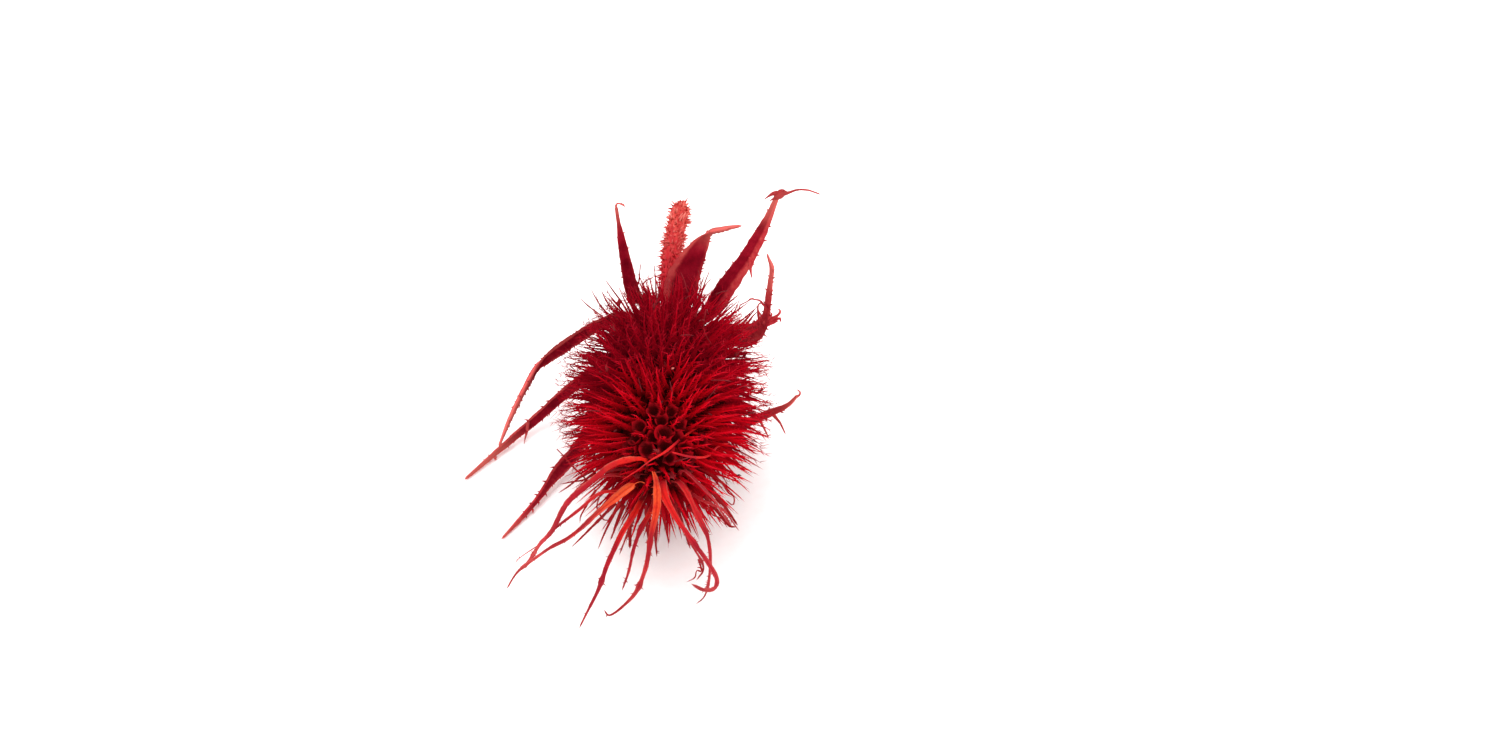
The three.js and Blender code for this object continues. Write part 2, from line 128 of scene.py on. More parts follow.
class Finish:
    # One material and its nodes.
    def __init__(self, name, roughness=0.6, specular=0.3):
        self.material = bpy.data.materials.new(name)
        self.material.use_nodes = True
        self.tree = self.material.node_tree
        self.shader = self.tree.nodes["Principled BSDF"]
        self.shader.inputs["Roughness"].default_value = roughness
        self.shader.inputs["Specular IOR Level"].default_value = specular
        self.spot = self.node("ShaderNodeTexCoord", output="Object")

    def node(self, kind, settings=None, inputs=None, output=0):
        made = self.tree.nodes.new(kind)
        for key, value in (settings or {}).items():
            if key == "stops":
                while len(made.color_ramp.elements) < len(value):
                    made.color_ramp.elements.new(1)
                for element, (position, colour) in zip(made.color_ramp.elements, value):
                    element.position = position
                    element.color = colour
            else:
                setattr(made, key, value)
        for key, value in (inputs or {}).items():
            self.feed(made.inputs[key], value)
        return Socket(self, made.outputs[output])

    def feed(self, target, value):
        if isinstance(value, Socket):
            self.tree.links.new(value.socket, target)
        else:
            target.default_value = value

    def attribute(self, name):
        return self.node("ShaderNodeAttribute", {"attribute_name": name}, output="Fac")

    def grain(self, scale, detail=3, roughness=0.6, stretch=(1, 1, 1)):
        spot = self.node("ShaderNodeMapping", None, {"Vector": self.spot, "Scale": stretch})
        inputs = {"Vector": spot, "Scale": scale, "Detail": detail, "Roughness": roughness}
        return self.node("ShaderNodeTexNoise", None, inputs)

    def step(self, value, low, high):  # 0 below low, 1 above high
        return self.node("ShaderNodeMapRange", {"interpolation_type": "SMOOTHSTEP"},
                         {"Value": value, "From Min": low, "From Max": high})

    # painted glow: the material gives off light of its own
    def glow(self, light):
        self.shader.inputs["Emission Strength"].default_value = 1
        self.feed(self.shader.inputs["Emission Color"], light)

    def mix(self, factor, first, second, blend="MIX"):
        return self.node("ShaderNodeMix", {"data_type": "RGBA", "blend_type": blend},
                         {0: factor, 6: first, 7: second}, output=2)

    def ramp(self, value, *stops):
        stops = [(position, paint(code)) for position, code in stops]
        return self.node("ShaderNodeValToRGB", {"stops": stops}, {0: value})

    def done(self, colour, height, distance, strength=0.6, roughness=None):
        self.feed(self.shader.inputs["Base Color"], colour)
        bump = self.node("ShaderNodeBump", None, {"Height": height, "Strength": strength,
                                                  "Distance": distance * mm})
        self.feed(self.shader.inputs["Normal"], bump)
        if roughness is not None:
            self.feed(self.shader.inputs["Roughness"], roughness)
        return self.material


def spineFinish():  # papery, near black between the roots as painted shade, crimson along the blade, paler at the tip
    finish = Finish("dyed seed spine", specular=0.04)
    along = finish.attribute("along")
    tone = finish.attribute("tone")
    fibre = finish.grain(2600, 4, 0.7)
    patch = finish.grain(210, 2)
    reach = along + (fibre - 0.5) * 0.25
    dull = finish.ramp(reach, (0, "#300002"), (0.26, "#7c000a"), (0.7, "#8e0012"), (1, "#920c1c"))
    bright = finish.ramp(reach, (0, "#3c0000"), (0.26, "#b4000e"), (0.65, "#d20018"), (1, "#ca1a30"))
    colour = finish.mix(finish.step(tone + (patch - 0.5) * 0.7, 0.05, 0.95), dull, bright)
    # painted shade: dark red-brown on the spines underneath the head and on the unlit side
    underShadeColour = finish.ramp(reach, (0, "#3a0004"), (0.5, "#7c0a14"), (1, "#801c24"))
    colour = finish.mix(finish.step(tone, -0.1, -0.3), colour, underShadeColour)
    # painted glow along the blade, stronger at the crown
    through = finish.mix(finish.attribute("crown"), paintedGlow["spine"], paintedGlow["crown"])
    finish.glow(finish.mix(finish.step(along, -0.08, 0.28), paintedGlow["none"], through))
    return finish.done(colour, fibre, 0.08, roughness=0.52 + fibre * 0.3)


def coreFinish():  # the skin that the seeds sit in, with a shallow cell to each; near black as painted shade under the spines
    finish = Finish("receptacle skin", 0.85, 0.03)
    cells = finish.node("ShaderNodeTexVoronoi", None, {"Vector": finish.spot, "Scale": 560})
    grain = finish.grain(1500, 4)
    rim = finish.step(cells, 0.1, 0.55)
    # painted shade: darker in the hollow of each cell, lighter on its rim
    colour = finish.mix(rim, finish.ramp(grain, (0.3, "#0c0000"), (0.7, "#1e0000")), paint("#3c0003"))
    return finish.done(colour, rim + grain * 0.4, 0.4)


def awnFinish():  # near black at the root as painted shade among the spines; orange near the root, partly the awn's own colour and partly a painted highlight; dull red along the thin part
    finish = Finish("crown awn", specular=0.08)
    along = finish.attribute("along")
    tone = finish.attribute("tone")
    glow = finish.attribute("glow")
    rim = finish.attribute("rim")
    fibre = finish.grain(1500, 4, 0.65)
    blotch = finish.grain(300, 3)
    reach = along + (blotch - 0.5) * 0.2
    plain = finish.ramp(reach, (0, "#6a060c"), (0.15, "#98141a"), (0.3, "#b02430"), (0.65, "#b83a3e"),
                        (1, "#b45052"))
    red = finish.ramp(reach, (0, "#400204"), (0.09, "#680808"), (0.15, "#d41c12"), (0.4, "#c4181a"),
                      (0.6, "#a81c2c"), (0.8, "#b2343c"), (1, "#b44a4a"))
    orange = finish.ramp(reach, (0, "#400204"), (0.1, "#680a08"), (0.145, "#e2582a"), (0.36, "#d2401e"),
                         (0.5, "#bc2626"), (0.72, "#b43438"), (1, "#b64e4a"))
    # glow: painted highlight in red and orange, partly the awn's own colour
    colour = finish.mix(finish.step(glow, 0, 0.5), plain, red)
    colour = finish.mix(finish.step(glow + (blotch - 0.5) * 1.4, 0.55, 0.95), colour, orange)
    # painted shade in the channel and on the underside of the blade
    shade = finish.mix(0.7, colour, paint("#b83848"), "MULTIPLY")
    colour = finish.mix(finish.step(rim + (fibre - 0.5) * 0.9, 0.5, 0), colour, shade)
    stain = finish.step(finish.grain(120, 2) + along * 0.12, 0.5, 0.66)
    colour = finish.mix(stain * 0.6, colour, paint("#7c0a1e"))
    pale = finish.mix(0.5, colour, paint("#d87060"))
    colour = finish.mix(finish.step(rim + (fibre - 0.5) * 0.6, 0.7, 1.1), colour, pale)
    colour = finish.mix(finish.step(tone + (fibre - 0.5) * 0.5, 0.75, 0), colour, paint("#5c0a10"))
    return finish.done(colour, fibre, 0.1, roughness=0.45 + fibre * 0.35)


def bractFinish():  # leathery, dark crimson inside; painted light makes it paler along its lit edge and towards its thin tip, with a painted glow where it is pale
    finish = Finish("bract", specular=0.05)
    light = finish.attribute("light")
    fade = finish.attribute("fade")
    ribs = finish.attribute("ribs")
    fibre = finish.grain(1300, 4, 0.65)
    blotch = finish.grain(260, 4)
    dark = finish.ramp(blotch, (0.3, "#640213"), (0.5, "#82061c"), (0.72, "#981226"))
    pale = finish.ramp(blotch + (fibre - 0.5) * 0.5, (0.25, "#9c1624"), (0.5, "#b23034"),
                       (0.75, "#c04e48"))
    colour = finish.mix(finish.step(light + (fibre - 0.5) * 0.5, 0.15, 0.85), dark, pale)
    # painted light: paler towards the thin tip and along the lit edge
    colour = finish.mix(finish.step(fade + (blotch - 0.5) * 0.3, 0, 1), colour, paint("#bc5a52"))
    # painted glow where the bract is painted light
    finish.glow(finish.mix(finish.step(light, 0.3, 0.9), paintedGlow["none"], paintedGlow["leaf"]))
    return finish.done(colour, fibre * 0.6 + ribs * 0.6, 0.22, roughness=0.5 + blotch * 0.3)


def stemFinish():  # pinkish red, streaked along its ribs, with pale prickles; deeper red towards the head as painted shade behind the bracts
    finish = Finish("stem", specular=0.06)
    along = finish.attribute("along")
    prickle = finish.attribute("prickle")
    streak = finish.grain(900, 4, 0.65, (1, 0.16, 1))
    speck = finish.grain(1900, 3)
    skin = finish.ramp(streak, (0.3, "#861416"), (0.5, "#b43430"), (0.72, "#d05a4e"))
    # painted shade: skin and prickles deeper red down towards the head
    skin = finish.mix(finish.step(along, 0.98, 0.3), skin, paint("#a20e1c"))
    thorn = finish.ramp(prickle + (speck - 0.5) * 0.3, (0.2, "#a02422"), (0.6, "#d0564c"), (1, "#e08074"))
    thorn = finish.mix(finish.step(along, 0.98, 0.3), thorn, paint("#a81c28"))
    colour = finish.mix(finish.step(prickle, 0.02, 0.12), skin, thorn)
    return finish.done(colour, streak + speck * 0.4, 0.15, roughness=0.55 + speck * 0.25)


def endFinish():  # the cut end's pith and torn fibres
    finish = Finish("cut end", 0.8, 0.15)
    pith = finish.grain(1800, 5, 0.7)
    colour = finish.ramp(pith, (0.3, "#a8403c"), (0.5, "#d98078"), (0.7, "#efb0a4"))
    return finish.done(colour, pith, 0.3)


def strawFinish():  # withered florets and stray threads
    finish = Finish("withered floret", specular=0.15)
    tone = finish.attribute("tone")
    grain = finish.grain(1700, 3)
    colour = finish.ramp(tone + (grain - 0.5) * 0.4, (0, "#4a0c12"), (0.5, "#8e2228"), (1, "#b86058"))
    return finish.done(colour, grain, 0.1, roughness=0.6 + grain * 0.2)


# Shaping helpers
class Path:
    # A smooth curve through points, asked for places by their share of its length.
    def __init__(self, points, steps=14):
        ends = [2 * points[0] - points[1], *points, 2 * points[-1] - points[-2]]
        self.samples = []
        for a, b, c, d in zip(ends, ends[1:], ends[2:], ends[3:]):
            t1 = math.sqrt((b - a).length)
            t2 = t1 + math.sqrt((c - b).length)
            t3 = t2 + math.sqrt((d - c).length)
            for i in range(steps):
                t = lerp(t1, t2, i / steps)
                ab = lerp(a, b, t / t1)
                bc = lerp(b, c, (t - t1) / (t2 - t1))
                cd = lerp(c, d, (t - t2) / (t3 - t2))
                abc = lerp(ab, bc, t / t2)
                bcd = lerp(bc, cd, (t - t1) / (t3 - t1))
                self.samples.append(lerp(abc, bcd, (t - t1) / (t2 - t1)))
        self.samples.append(points[-1].copy())
        self.reached = [0]
        for a, b in zip(self.samples, self.samples[1:]):
            self.reached.append(self.reached[-1] + (b - a).length)
        self.length = self.reached[-1]

    def at(self, share):
        wanted = min(1, max(0, share)) * self.length
        low = 0
        high = len(self.reached) - 2
        while low < high:
            middle = (low + high + 1) // 2
            if self.reached[middle] <= wanted:
                low = middle
            else:
                high = middle - 1
        part = (wanted - self.reached[low]) / (self.reached[low + 1] - self.reached[low])
        return lerp(self.samples[low], self.samples[low + 1], part)

    def heading(self, share):
        return (self.at(share + 0.008) - self.at(share - 0.008)).normalized()


def widthAlong(points):  # a width from the fourth number of each point, by its share of the way
    spots = [Vector(point[:3]) for point in points]
    reached = [0]
    for a, b in zip(spots, spots[1:]):
        reached.append(reached[-1] + (b - a).length)

    def width(share):
        wanted = share * reached[-1]
        index = max(i for i in range(len(points) - 1) if reached[i] <= wanted + 1e-9)
        part = (wanted - reached[index]) / (reached[index + 1] - reached[index])
        return lerp(points[index][3], points[index + 1][3], min(1, part)) * mm

    return width


def layer(bm, name):
    return bm.verts.layers.float.get(name) or bm.verts.layers.float.new(name)


def loft(corners, shares, shape, tip=None):
    # Draws a ring of corners out along a shape, which gives the place of a corner at a share of the
    # way. It ends in a point, or in a flat face where no tip is given.
    bm = bmesh.new()
    turn = layer(bm, "turn")
    along = layer(bm, "along")
    ring = bmesh.ops.create_circle(bm, cap_ends=True, segments=corners, radius=mm)["verts"]
    for index, vert in enumerate(ring):
        vert[turn] = index / corners
    edges = list(dict.fromkeys(edge for vert in ring for edge in vert.link_edges))
    rows = [ring]
    for _ in shares[1:]:
        made = bmesh.ops.extrude_edge_only(bm, edges=edges)["geom"]
        rows.append([item for item in made if isinstance(item, bmesh.types.BMVert)])
        edges = [item for item in made if isinstance(item, bmesh.types.BMEdge)]
    for row, share in zip(rows, shares):
        for vert in row:
            vert[along] = share
            vert.co = shape(vert[turn], share)
    if tip is None:
        bmesh.ops.contextual_create(bm, geom=edges)
    else:
        bmesh.ops.pointmerge(bm, verts=rows[-1], merge_co=tip)
    return bm


def coneMesh(length, radius, corners=3, bend=0, start=0.2, end=1):  # a hair or prickle, along +Z
    bm = bmesh.new()
    along = layer(bm, "along")
    bmesh.ops.create_cone(bm, cap_ends=True, segments=corners, radius1=radius, radius2=0, depth=length,
                          matrix=Matrix.Translation((0, 0, length / 2)))
    if bend:
        sides = [edge for edge in bm.edges if abs(edge.verts[0].co.z - edge.verts[1].co.z) > length / 2]
        bmesh.ops.subdivide_edges(bm, edges=sides, cuts=1)
        for vert in bm.verts:
            vert.co.x += bend * (vert.co.z / length) ** 2
    for vert in bm.verts:
        vert[along] = lerp(start, end, vert.co.z / length)
    return asMesh(bm)


def asMesh(bm, name="template"):
    mesh = bpy.data.meshes.new(name)
    bm.to_mesh(mesh)
    bm.free()
    return mesh


def addTo(bm, mesh, matrix=None, keep=True, **values):
    # Adds a mesh to a bmesh, moved by a matrix, with a value of each named layer.
    copy = mesh.copy()
    if matrix is not None:
        copy.transform(matrix)
    start = len(bm.verts)
    bm.from_mesh(copy)
    bpy.data.meshes.remove(copy)
    if not keep:
        bpy.data.meshes.remove(mesh)
    layers = [(layer(bm, name), value) for name, value in values.items()]
    bm.verts.ensure_lookup_table()
    for vert in bm.verts[start:]:
        for spot, value in layers:
            vert[spot] = value


def standing(spot, up, side=None, size=(1, 1, 1)):  # +Z along up, +X as near to side as it can be
    z = up.normalized()
    side = side or (Vector((1, 0, 0)) if abs(z.x) < 0.8 else Vector((0, 1, 0)))
    x = (side - z * side.dot(z)).normalized()
    turned = Matrix((x, z.cross(x), z)).transposed().to_4x4()
    return Matrix.Translation(spot) @ turned @ Matrix.Diagonal((*size, 1))


def piece(bm, name, finishes, slotName, *nodes):
    bmesh.ops.recalc_face_normals(bm, faces=bm.faces)
    mesh = asMesh(bm, name)
    mesh.polygons.foreach_set("use_smooth", [True] * len(mesh.polygons))
    made = bpy.data.objects.new(name, mesh)
    bpy.context.scene.collection.objects.link(made)
    for finish in finishes:
        mesh.materials.append(finish)
    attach(made, "root")
    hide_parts(*nodes)
    print(f"{name}: {sum(len(p.vertices) - 2 for p in mesh.polygons)} triangles")
    return made


# The core that the seeds sit on
core = {"halfLength": 26, "radius": 12, "fullness": 0.1, "flatAngle": 27, "segments": 72, "rings": 48}


def coreRadius(polar):
    return core["radius"] * math.sin(polar) * (1 + core["fullness"] * math.cos(polar))


def corePoint(polar, turn):
    radius = coreRadius(polar)
    return place(radius * math.sin(turn), core["halfLength"] * math.cos(polar), radius * math.cos(turn))


def coreSlope(polar):
    radial = core["radius"] * (math.cos(polar) + core["fullness"] * math.cos(2 * polar))
    return -core["halfLength"] * math.sin(polar), radial


def coreNormal(polar, turn):
    axial, radial = coreSlope(polar)
    return Vector((-axial * math.sin(turn), radial, -axial * math.cos(turn))).normalized()


def seedCore(finish):
    bm = bmesh.new()
    bmesh.ops.create_uvsphere(bm, u_segments=core["segments"], v_segments=core["rings"], radius=1)
    for vert in bm.verts:
        polar = math.acos(min(1, max(-1, vert.co.z)))
        vert.co = corePoint(polar, math.atan2(vert.co.y, vert.co.x))
    flat = core["halfLength"] * math.cos(math.radians(core["flatAngle"]))
    cut = bmesh.ops.bisect_plane(bm, geom=[*bm.verts, *bm.edges, *bm.faces], plane_co=place(0, flat, 0),
                                 plane_no=(0, 1, 0), clear_outer=True)["geom_cut"]
    bmesh.ops.contextual_create(bm, geom=[item for item in cut if isinstance(item, bmesh.types.BMEdge)])
    return piece(bm, "seed_core", [finish], "head", "spiny_head")


# What passes between the spines: the long awns and the bracts
# Each awn's glow is how much painted orange highlight it carries, partly its own colour
awnRings = [
    {"radius": 1.35, "awns": [
        {"points": [[-0.3, -27.4, 4.6], [-0.3, -29.2, 6], [0.3, -31, 5.2], [0.6, -34, 2.2],
                    [-0.4, -37, -3.2], [-2, -41.4, -10.4], [-4.3, -43.8, -14.2], [-8.5, -47, -16],
                    [-9.3, -47.2, -14.6]],
         "widths": [0.3, 0.35, 0.6, 1.1, 1.7, 1.6, 1.15, 1, 0.95, 0.95, 0.9, 0.85, 0.7, 0.5, 0.35],
         "glow": 0.85, "knots": [0.52, 0.74]},
        {"points": [[1, -29.6, 4], [2.3, -33, 2.2], [6.8, -37, -3.3], [10.6, -39.6, -7.6],
                    [12.6, -41, -11.2], [12, -41.8, -13], [10.2, -42, -13.4], [7.8, -41.2, -12.6]],
         "widths": [0.7, 1.8, 2.4, 2, 1.4, 1.15, 1, 0.95, 0.95, 1, 1.1, 1.1, 0.8],
         "glow": 0.45, "knots": [0.57]},
        {"points": [[-1.8, -27.6, 1.4], [-3.2, -29.6, 3.9], [-8.4, -33.5, 2.1], [-11, -35.5, 0.7],
                    [-16, -38.4, -2.9], [-20.4, -40.3, -4.8], [-24, -42.2, -6.7], [-26.5, -43.6, -8.2],
                    [-28.5, -44.8, -11.4]],
         "widths": [2.6, 2.6, 2.7, 2.7, 2.6, 2.3, 1.9, 1.6, 1.4, 1.25, 1.15, 1.1, 1, 0.9, 0.8, 0.7,
                    0.5], "glow": 1, "knots": [0.86], "torn": 0.2},
    ]},
    {"radius": 3, "awns": [
        None, None,
        {"points": [[4.8, -29, 3.3], [8.2, -31, -2.6], [10.5, -34, -6.8], [10.8, -38, -14],
                    [9.9, -40, -17], [8.5, -40.2, -18.6]],
         "widths": [0.9, 1.3, 1.3, 1.2, 1.25, 1, 0.85, 0.75, 0.5, 0.3],
         "glow": 0.3, "knots": [0.42, 0.86]},
        {"points": [[4.6, -30, -5.6], [6.9, -33, -8.4], [9.6, -36, -13], [8.4, -37, -15]],
         "widths": [0.8, 1, 0.8, 0.6, 0.5, 0.45, 0.4], "glow": 0.1, "knots": [0.8]},
        {"points": [[-1.2, -31.4, -2.8], [-2.9, -35, -4.4], [-4.1, -37.5, -7.6], [-5, -40, -11.2],
                    [-6.2, -41.6, -14]],
         "widths": [0.9, 1.2, 1.1, 0.9, 0.75, 0.6, 0.35], "glow": 0.5, "knots": [0.45]},
        {"points": [[-4.6, -33, -2.6], [-6.8, -36, -5.1], [-8.9, -40, -8.6], [-10.4, -43, -11.7],
                    [-14.1, -49, -17.5]],
         "widths": [0.8, 1.3, 1.35, 1.2, 1.05, 0.95, 0.65, 0.35], "glow": 0.4, "knots": [0.7]},
        {"points": [[-2, -26, 6.4], [-4.3, -27.4, 7.8], [-6.8, -28.4, 8.1], [-9.1, -29.6, 7.6],
                    [-11.2, -30.5, 6], [-14, -32, 3.9], [-17.4, -33.5, 1], [-20.2, -36, -4],
                    [-22.4, -37.8, -5.9], [-24.3, -39.8, -8.1], [-26.4, -42, -9.4]],
         "widths": [0.4, 0.6, 1, 1.7, 1.8, 1.7, 1.6, 1.45, 1.3, 1.1, 0.8, 0.35],
         "glow": 0.65, "knots": [0.9]},
        None,
    ]},
    {"radius": 4.7, "awns": [
        None, None, None,
        {"points": [[5.6, -27, 5], [8.2, -28.6, 3.6], [11.7, -30.4, 0], [15.1, -32.4, -4.4]],
         "widths": [0.9, 1.1, 0.9, 0.75, 0.6, 0.5], "glow": 0.2, "knots": [0.93]},
        {"points": [[9, -26.6, -3], [13.4, -27.6, -4.8], [16.4, -29, -8.4]],
         "widths": [0.9, 1, 0.75, 0.6, 0.45, 0.3], "glow": 0.1, "knots": [0.7]},
        None, None, None,
        {"points": [[-6.4, -26.8, -1], [-10.9, -30, 1.2], [-15.3, -33, -1.2], [-19.7, -35.5, -3.7],
                    [-22.4, -37.5, -5.9], [-23.6, -38.3, -6.3], [-27.1, -40.5, -8.2],
                    [-27.3, -40.8, -8.7], [-26.8, -40.8, -9.3]],
         "widths": [0.8, 1.2, 1.15, 1.05, 0.95, 0.9, 0.85, 0.6, 0.32, 0.28, 0.2],
         "glow": 0.3, "knots": []},
        {"points": [[-10, -24.6, 1.2], [-15.4, -24, -2], [-19, -24, -7]],
         "widths": [0.8, 0.9, 0.7, 0.5, 0.4, 0.25], "glow": 0.1, "knots": [0.75]},
        None, None,
    ]},
]
awn = {
    "seed": 19,
    "tipRadius": 10.8,  # how far from the axis the outermost ring could stand
    "straightLength": 14,
    "straightWidths": [0.8, 0.9, 0.75, 0.6, 0.45, 0.3],
    "rootDepth": 0.6,
    "rowStep": 0.6,
    "wobble": 0.18,
    "across": [0.5, 0, -0.5, -0.28, 0, 0.28],  # the section's corners, in widths
    "lift": [0.1, -0.02, 0.1, -0.2, -0.3, -0.2],
    "rim": [1, 0, 1, 0.4, 0.4, 0.4],  # how much each corner looks like the blade's edge; corners below 0.5 get painted shade
    "knotLength": 0.8,
    "knotSwell": 0.5,
    "gritStep": 1.1,
    "grit": 0.2,
    "fibre": 0.12,  # the share of its width that a torn one hangs by
    "prickleStep": 2.6,
    "prickleLengths": [0.3, 0.9],
    "prickleRadius": 0.12,
    "knotPrickles": 5,
}

# Loose threads, hanging rods and bristles, by their look. Each point of a route has a width.
threadLook = {"glow": 0, "along": 0.1, "tone": 0.75, "rim": 0.45}
headThreads = [
    {"glow": 0.5, "along": 0.4, "routes": [
        [[-5.3, -41, 13.9, 0.12], [-2.7, -37, 13.1, 0.2], [-0.6, -33, 12.2, 0.3], [2, -28, 10.4, 0.55],
         [4.6, -22, 8.7, 0.6], [7.2, -16, 6.7, 0.5], [9, -11, 4.1, 0.3]],
    ]},
    {"glow": 0.4, "along": 0.4, "routes": [
        [[14, -14.6, 2, 0.2], [12.2, -17, 3.4, 0.4], [9.9, -22, 4.6, 0.55], [6.2, -27, 8.6, 0.5],
         [3.3, -28, 10.4, 0.3]],
    ]},
    {"routes": [
        [[3, -24, -1, 0.5], [8.1, -28, -1.4, 0.35], [9.3, -28, -4, 0.35], [10.3, -28.4, -3.1, 0.3],
         [11.1, -29, -4.6, 0.35], [13.2, -30, -5, 0.25], [14.2, -31, -6.2, 0.2]],
        [[6, -20, 1, 0.5], [12.5, -24, 0.1, 0.35], [14.2, -25, -2.2, 0.35], [15.4, -25, -3.4, 0.3],
         [15.2, -26, -4.7, 0.3], [13.8, -25, -4.3, 0.2]],
    ]},
    {"along": 0.15, "routes": [
        [[8.6, -35, -11.4, 0.4], [9.4, -36.4, -13.4, 0.35], [8.4, -36.8, -12.8, 0.3],
         [8, -37.4, -14.2, 0.3], [6.5, -37.8, -15, 0.15]],
        [[9.4, -36.4, -13.4, 0.3], [9.1, -36.6, -12.2, 0.3], [8.5, -36.9, -11.9, 0.15]],
    ]},
    {"along": 0.15, "tone": 0.45, "routes": [
        [[-8.3, -27, -3.9, 0.9], [-11.7, -30, -6.2, 0.6], [-14.3, -33, -7.4, 0.42],
         [-16.5, -36, -8, 0.2]],
    ]},
    {"along": 0.15, "tone": 0.55, "routes": [
        [[-7.4, -27, -3.6, 0.9], [-9.2, -29, -6.7, 0.55], [-10.5, -31.5, -8.6, 0.4],
         [-11.5, -34, -10.2, 0.15]],
    ]},
    {"along": 0.15, "tone": 0.45, "routes": [
        [[-6.7, -27, -4.4, 0.9], [-8, -29.5, -7.3, 0.6], [-9.1, -32, -9.4, 0.3]],
    ]},
    {"along": 0.15, "tone": 0.42, "routes": [
        [[-5, -28, -4.3, 1.1], [-5.3, -30, -7.6, 0.85], [-5.2, -33, -10.6, 0.6]],
    ]},
    {"along": 0.15, "tone": 0.55, "routes": [
        [[-12.3, -26, -1.5, 0.6], [-14.3, -27.5, -4.7, 0.4], [-15.3, -28.5, -6.3, 0.3],
         [-15.5, -29, -7.7, 0.15]],
    ]},
    {"along": 0.15, "tone": 0.42, "routes": [
        [[-10.5, -27, -0.1, 0.5], [-11.5, -28, -1.9, 0.35], [-11.9, -29, -3.4, 0.3],
         [-11.3, -30, -4.4, 0.3], [-10.4, -30.5, -5.5, 0.3], [-9.4, -31, -5, 0.2]],
    ]},
    {"along": 0.15, "tone": 0.5, "routes": [
        [[-13.2, -20, -1.3, 0.6], [-16.3, -22, -2.1, 0.45], [-18.1, -24, -2.5, 0.35],
         [-19.9, -25, -3.3, 0.15]],
        [[-12.8, -20, -2, 0.6], [-15.1, -22, -2.3, 0.4], [-17.3, -24, -1.2, 0.35],
         [-19.4, -25, -1, 0.15]],
    ]},
    {"along": 0.15, "tone": 0.42, "routes": [
        [[-21, -16, 0.7, 0.2], [-18.6, -18, -0.7, 0.35], [-16.8, -20, -1.4, 0.4],
         [-15.2, -21, -2.3, 0.35], [-14.6, -21.5, -3.7, 0.15]],
    ]},
    {"along": 0.15, "tone": 0.5, "routes": [
        [[-2, -29, -2.6, 0.9], [-1.8, -31, -6.1, 0.6], [-1.3, -34, -8.8, 0.3]],
        [[0.7, -28, -3.3, 0.9], [1.7, -30, -6.1, 0.6], [2.6, -32, -9.9, 0.35]],
        [[3.4, -26, -3.1, 0.9], [5.5, -28, -6.1, 0.6], [6.9, -30, -8.8, 0.35]],
        [[9.2, -22, -5.8, 0.9], [12.1, -24, -8.3, 0.7], [14.6, -26.5, -9.8, 0.5],
         [15.9, -27, -9.6, 0.25]],
        [[10.3, -20, -5.9, 0.9], [13.4, -22, -8.6, 0.7], [16, -24.5, -11.2, 0.4]],
        [[6.1, -25, -5.7, 0.8], [8.6, -27, -7.9, 0.5], [10.7, -29, -9.6, 0.25]],
    ]},
    {"along": 0, "routes": [
        [[8.8, 8, 18, 0.35], [8.5, 6, 20.3, 0.4], [8.1, 4, 16.7, 0.3], [9.8, 2, 14.4, 0.25]],
    ]},
    {"routes": [
        [[-5, 23, 6, 0.4], [-6.1, 26, 8.4, 0.4], [-7.7, 27.5, 10, 0.4], [-7.2, 28, 11.1, 0.35],
         [-6.7, 29, 15.5, 0.2]],
        [[-3.6, 23, 6, 0.4], [-4.9, 26, 8.2, 0.4], [-6.2, 27.5, 11, 0.35], [-5.7, 28, 11.6, 0.3],
         [-3.8, 28, 12.9, 0.15]],
        [[-3, 23, 6, 0.4], [-3.3, 26, 8.8, 0.4], [-3.5, 28, 12.1, 0.3], [-3.8, 29, 15.5, 0.15]],
        [[-11, 23, 1, 0.4], [-15.3, 26, 3.7, 0.35], [-18.2, 27, 5.6, 0.3], [-20, 28, 6.9, 0.12]],
        [[-11, 23, 1.6, 0.4], [-14, 26, 4.3, 0.35], [-16, 27, 6.7, 0.3], [-17.5, 28, 9.3, 0.12]],
        [[-10, 23, 2, 0.4], [-12.7, 26, 4.8, 0.35], [-14.4, 27, 7.5, 0.3], [-15.2, 28, 8.9, 0.15]],
        [[-7.6, 23, 3, 0.45], [-10.3, 26, 6.5, 0.4], [-12.6, 27, 9.7, 0.3], [-14.3, 28, 11.8, 0.15]],
        [[3.8, 23, 4.6, 0.4], [5.3, 26, 6.9, 0.4], [5.9, 27, 9.9, 0.3], [6.9, 28, 13.4, 0.15]],
        [[4.2, 23, 4.6, 0.4], [5.9, 26, 7.7, 0.4], [7, 27, 11.8, 0.3], [8.2, 28, 15, 0.15]],
    ]},
]
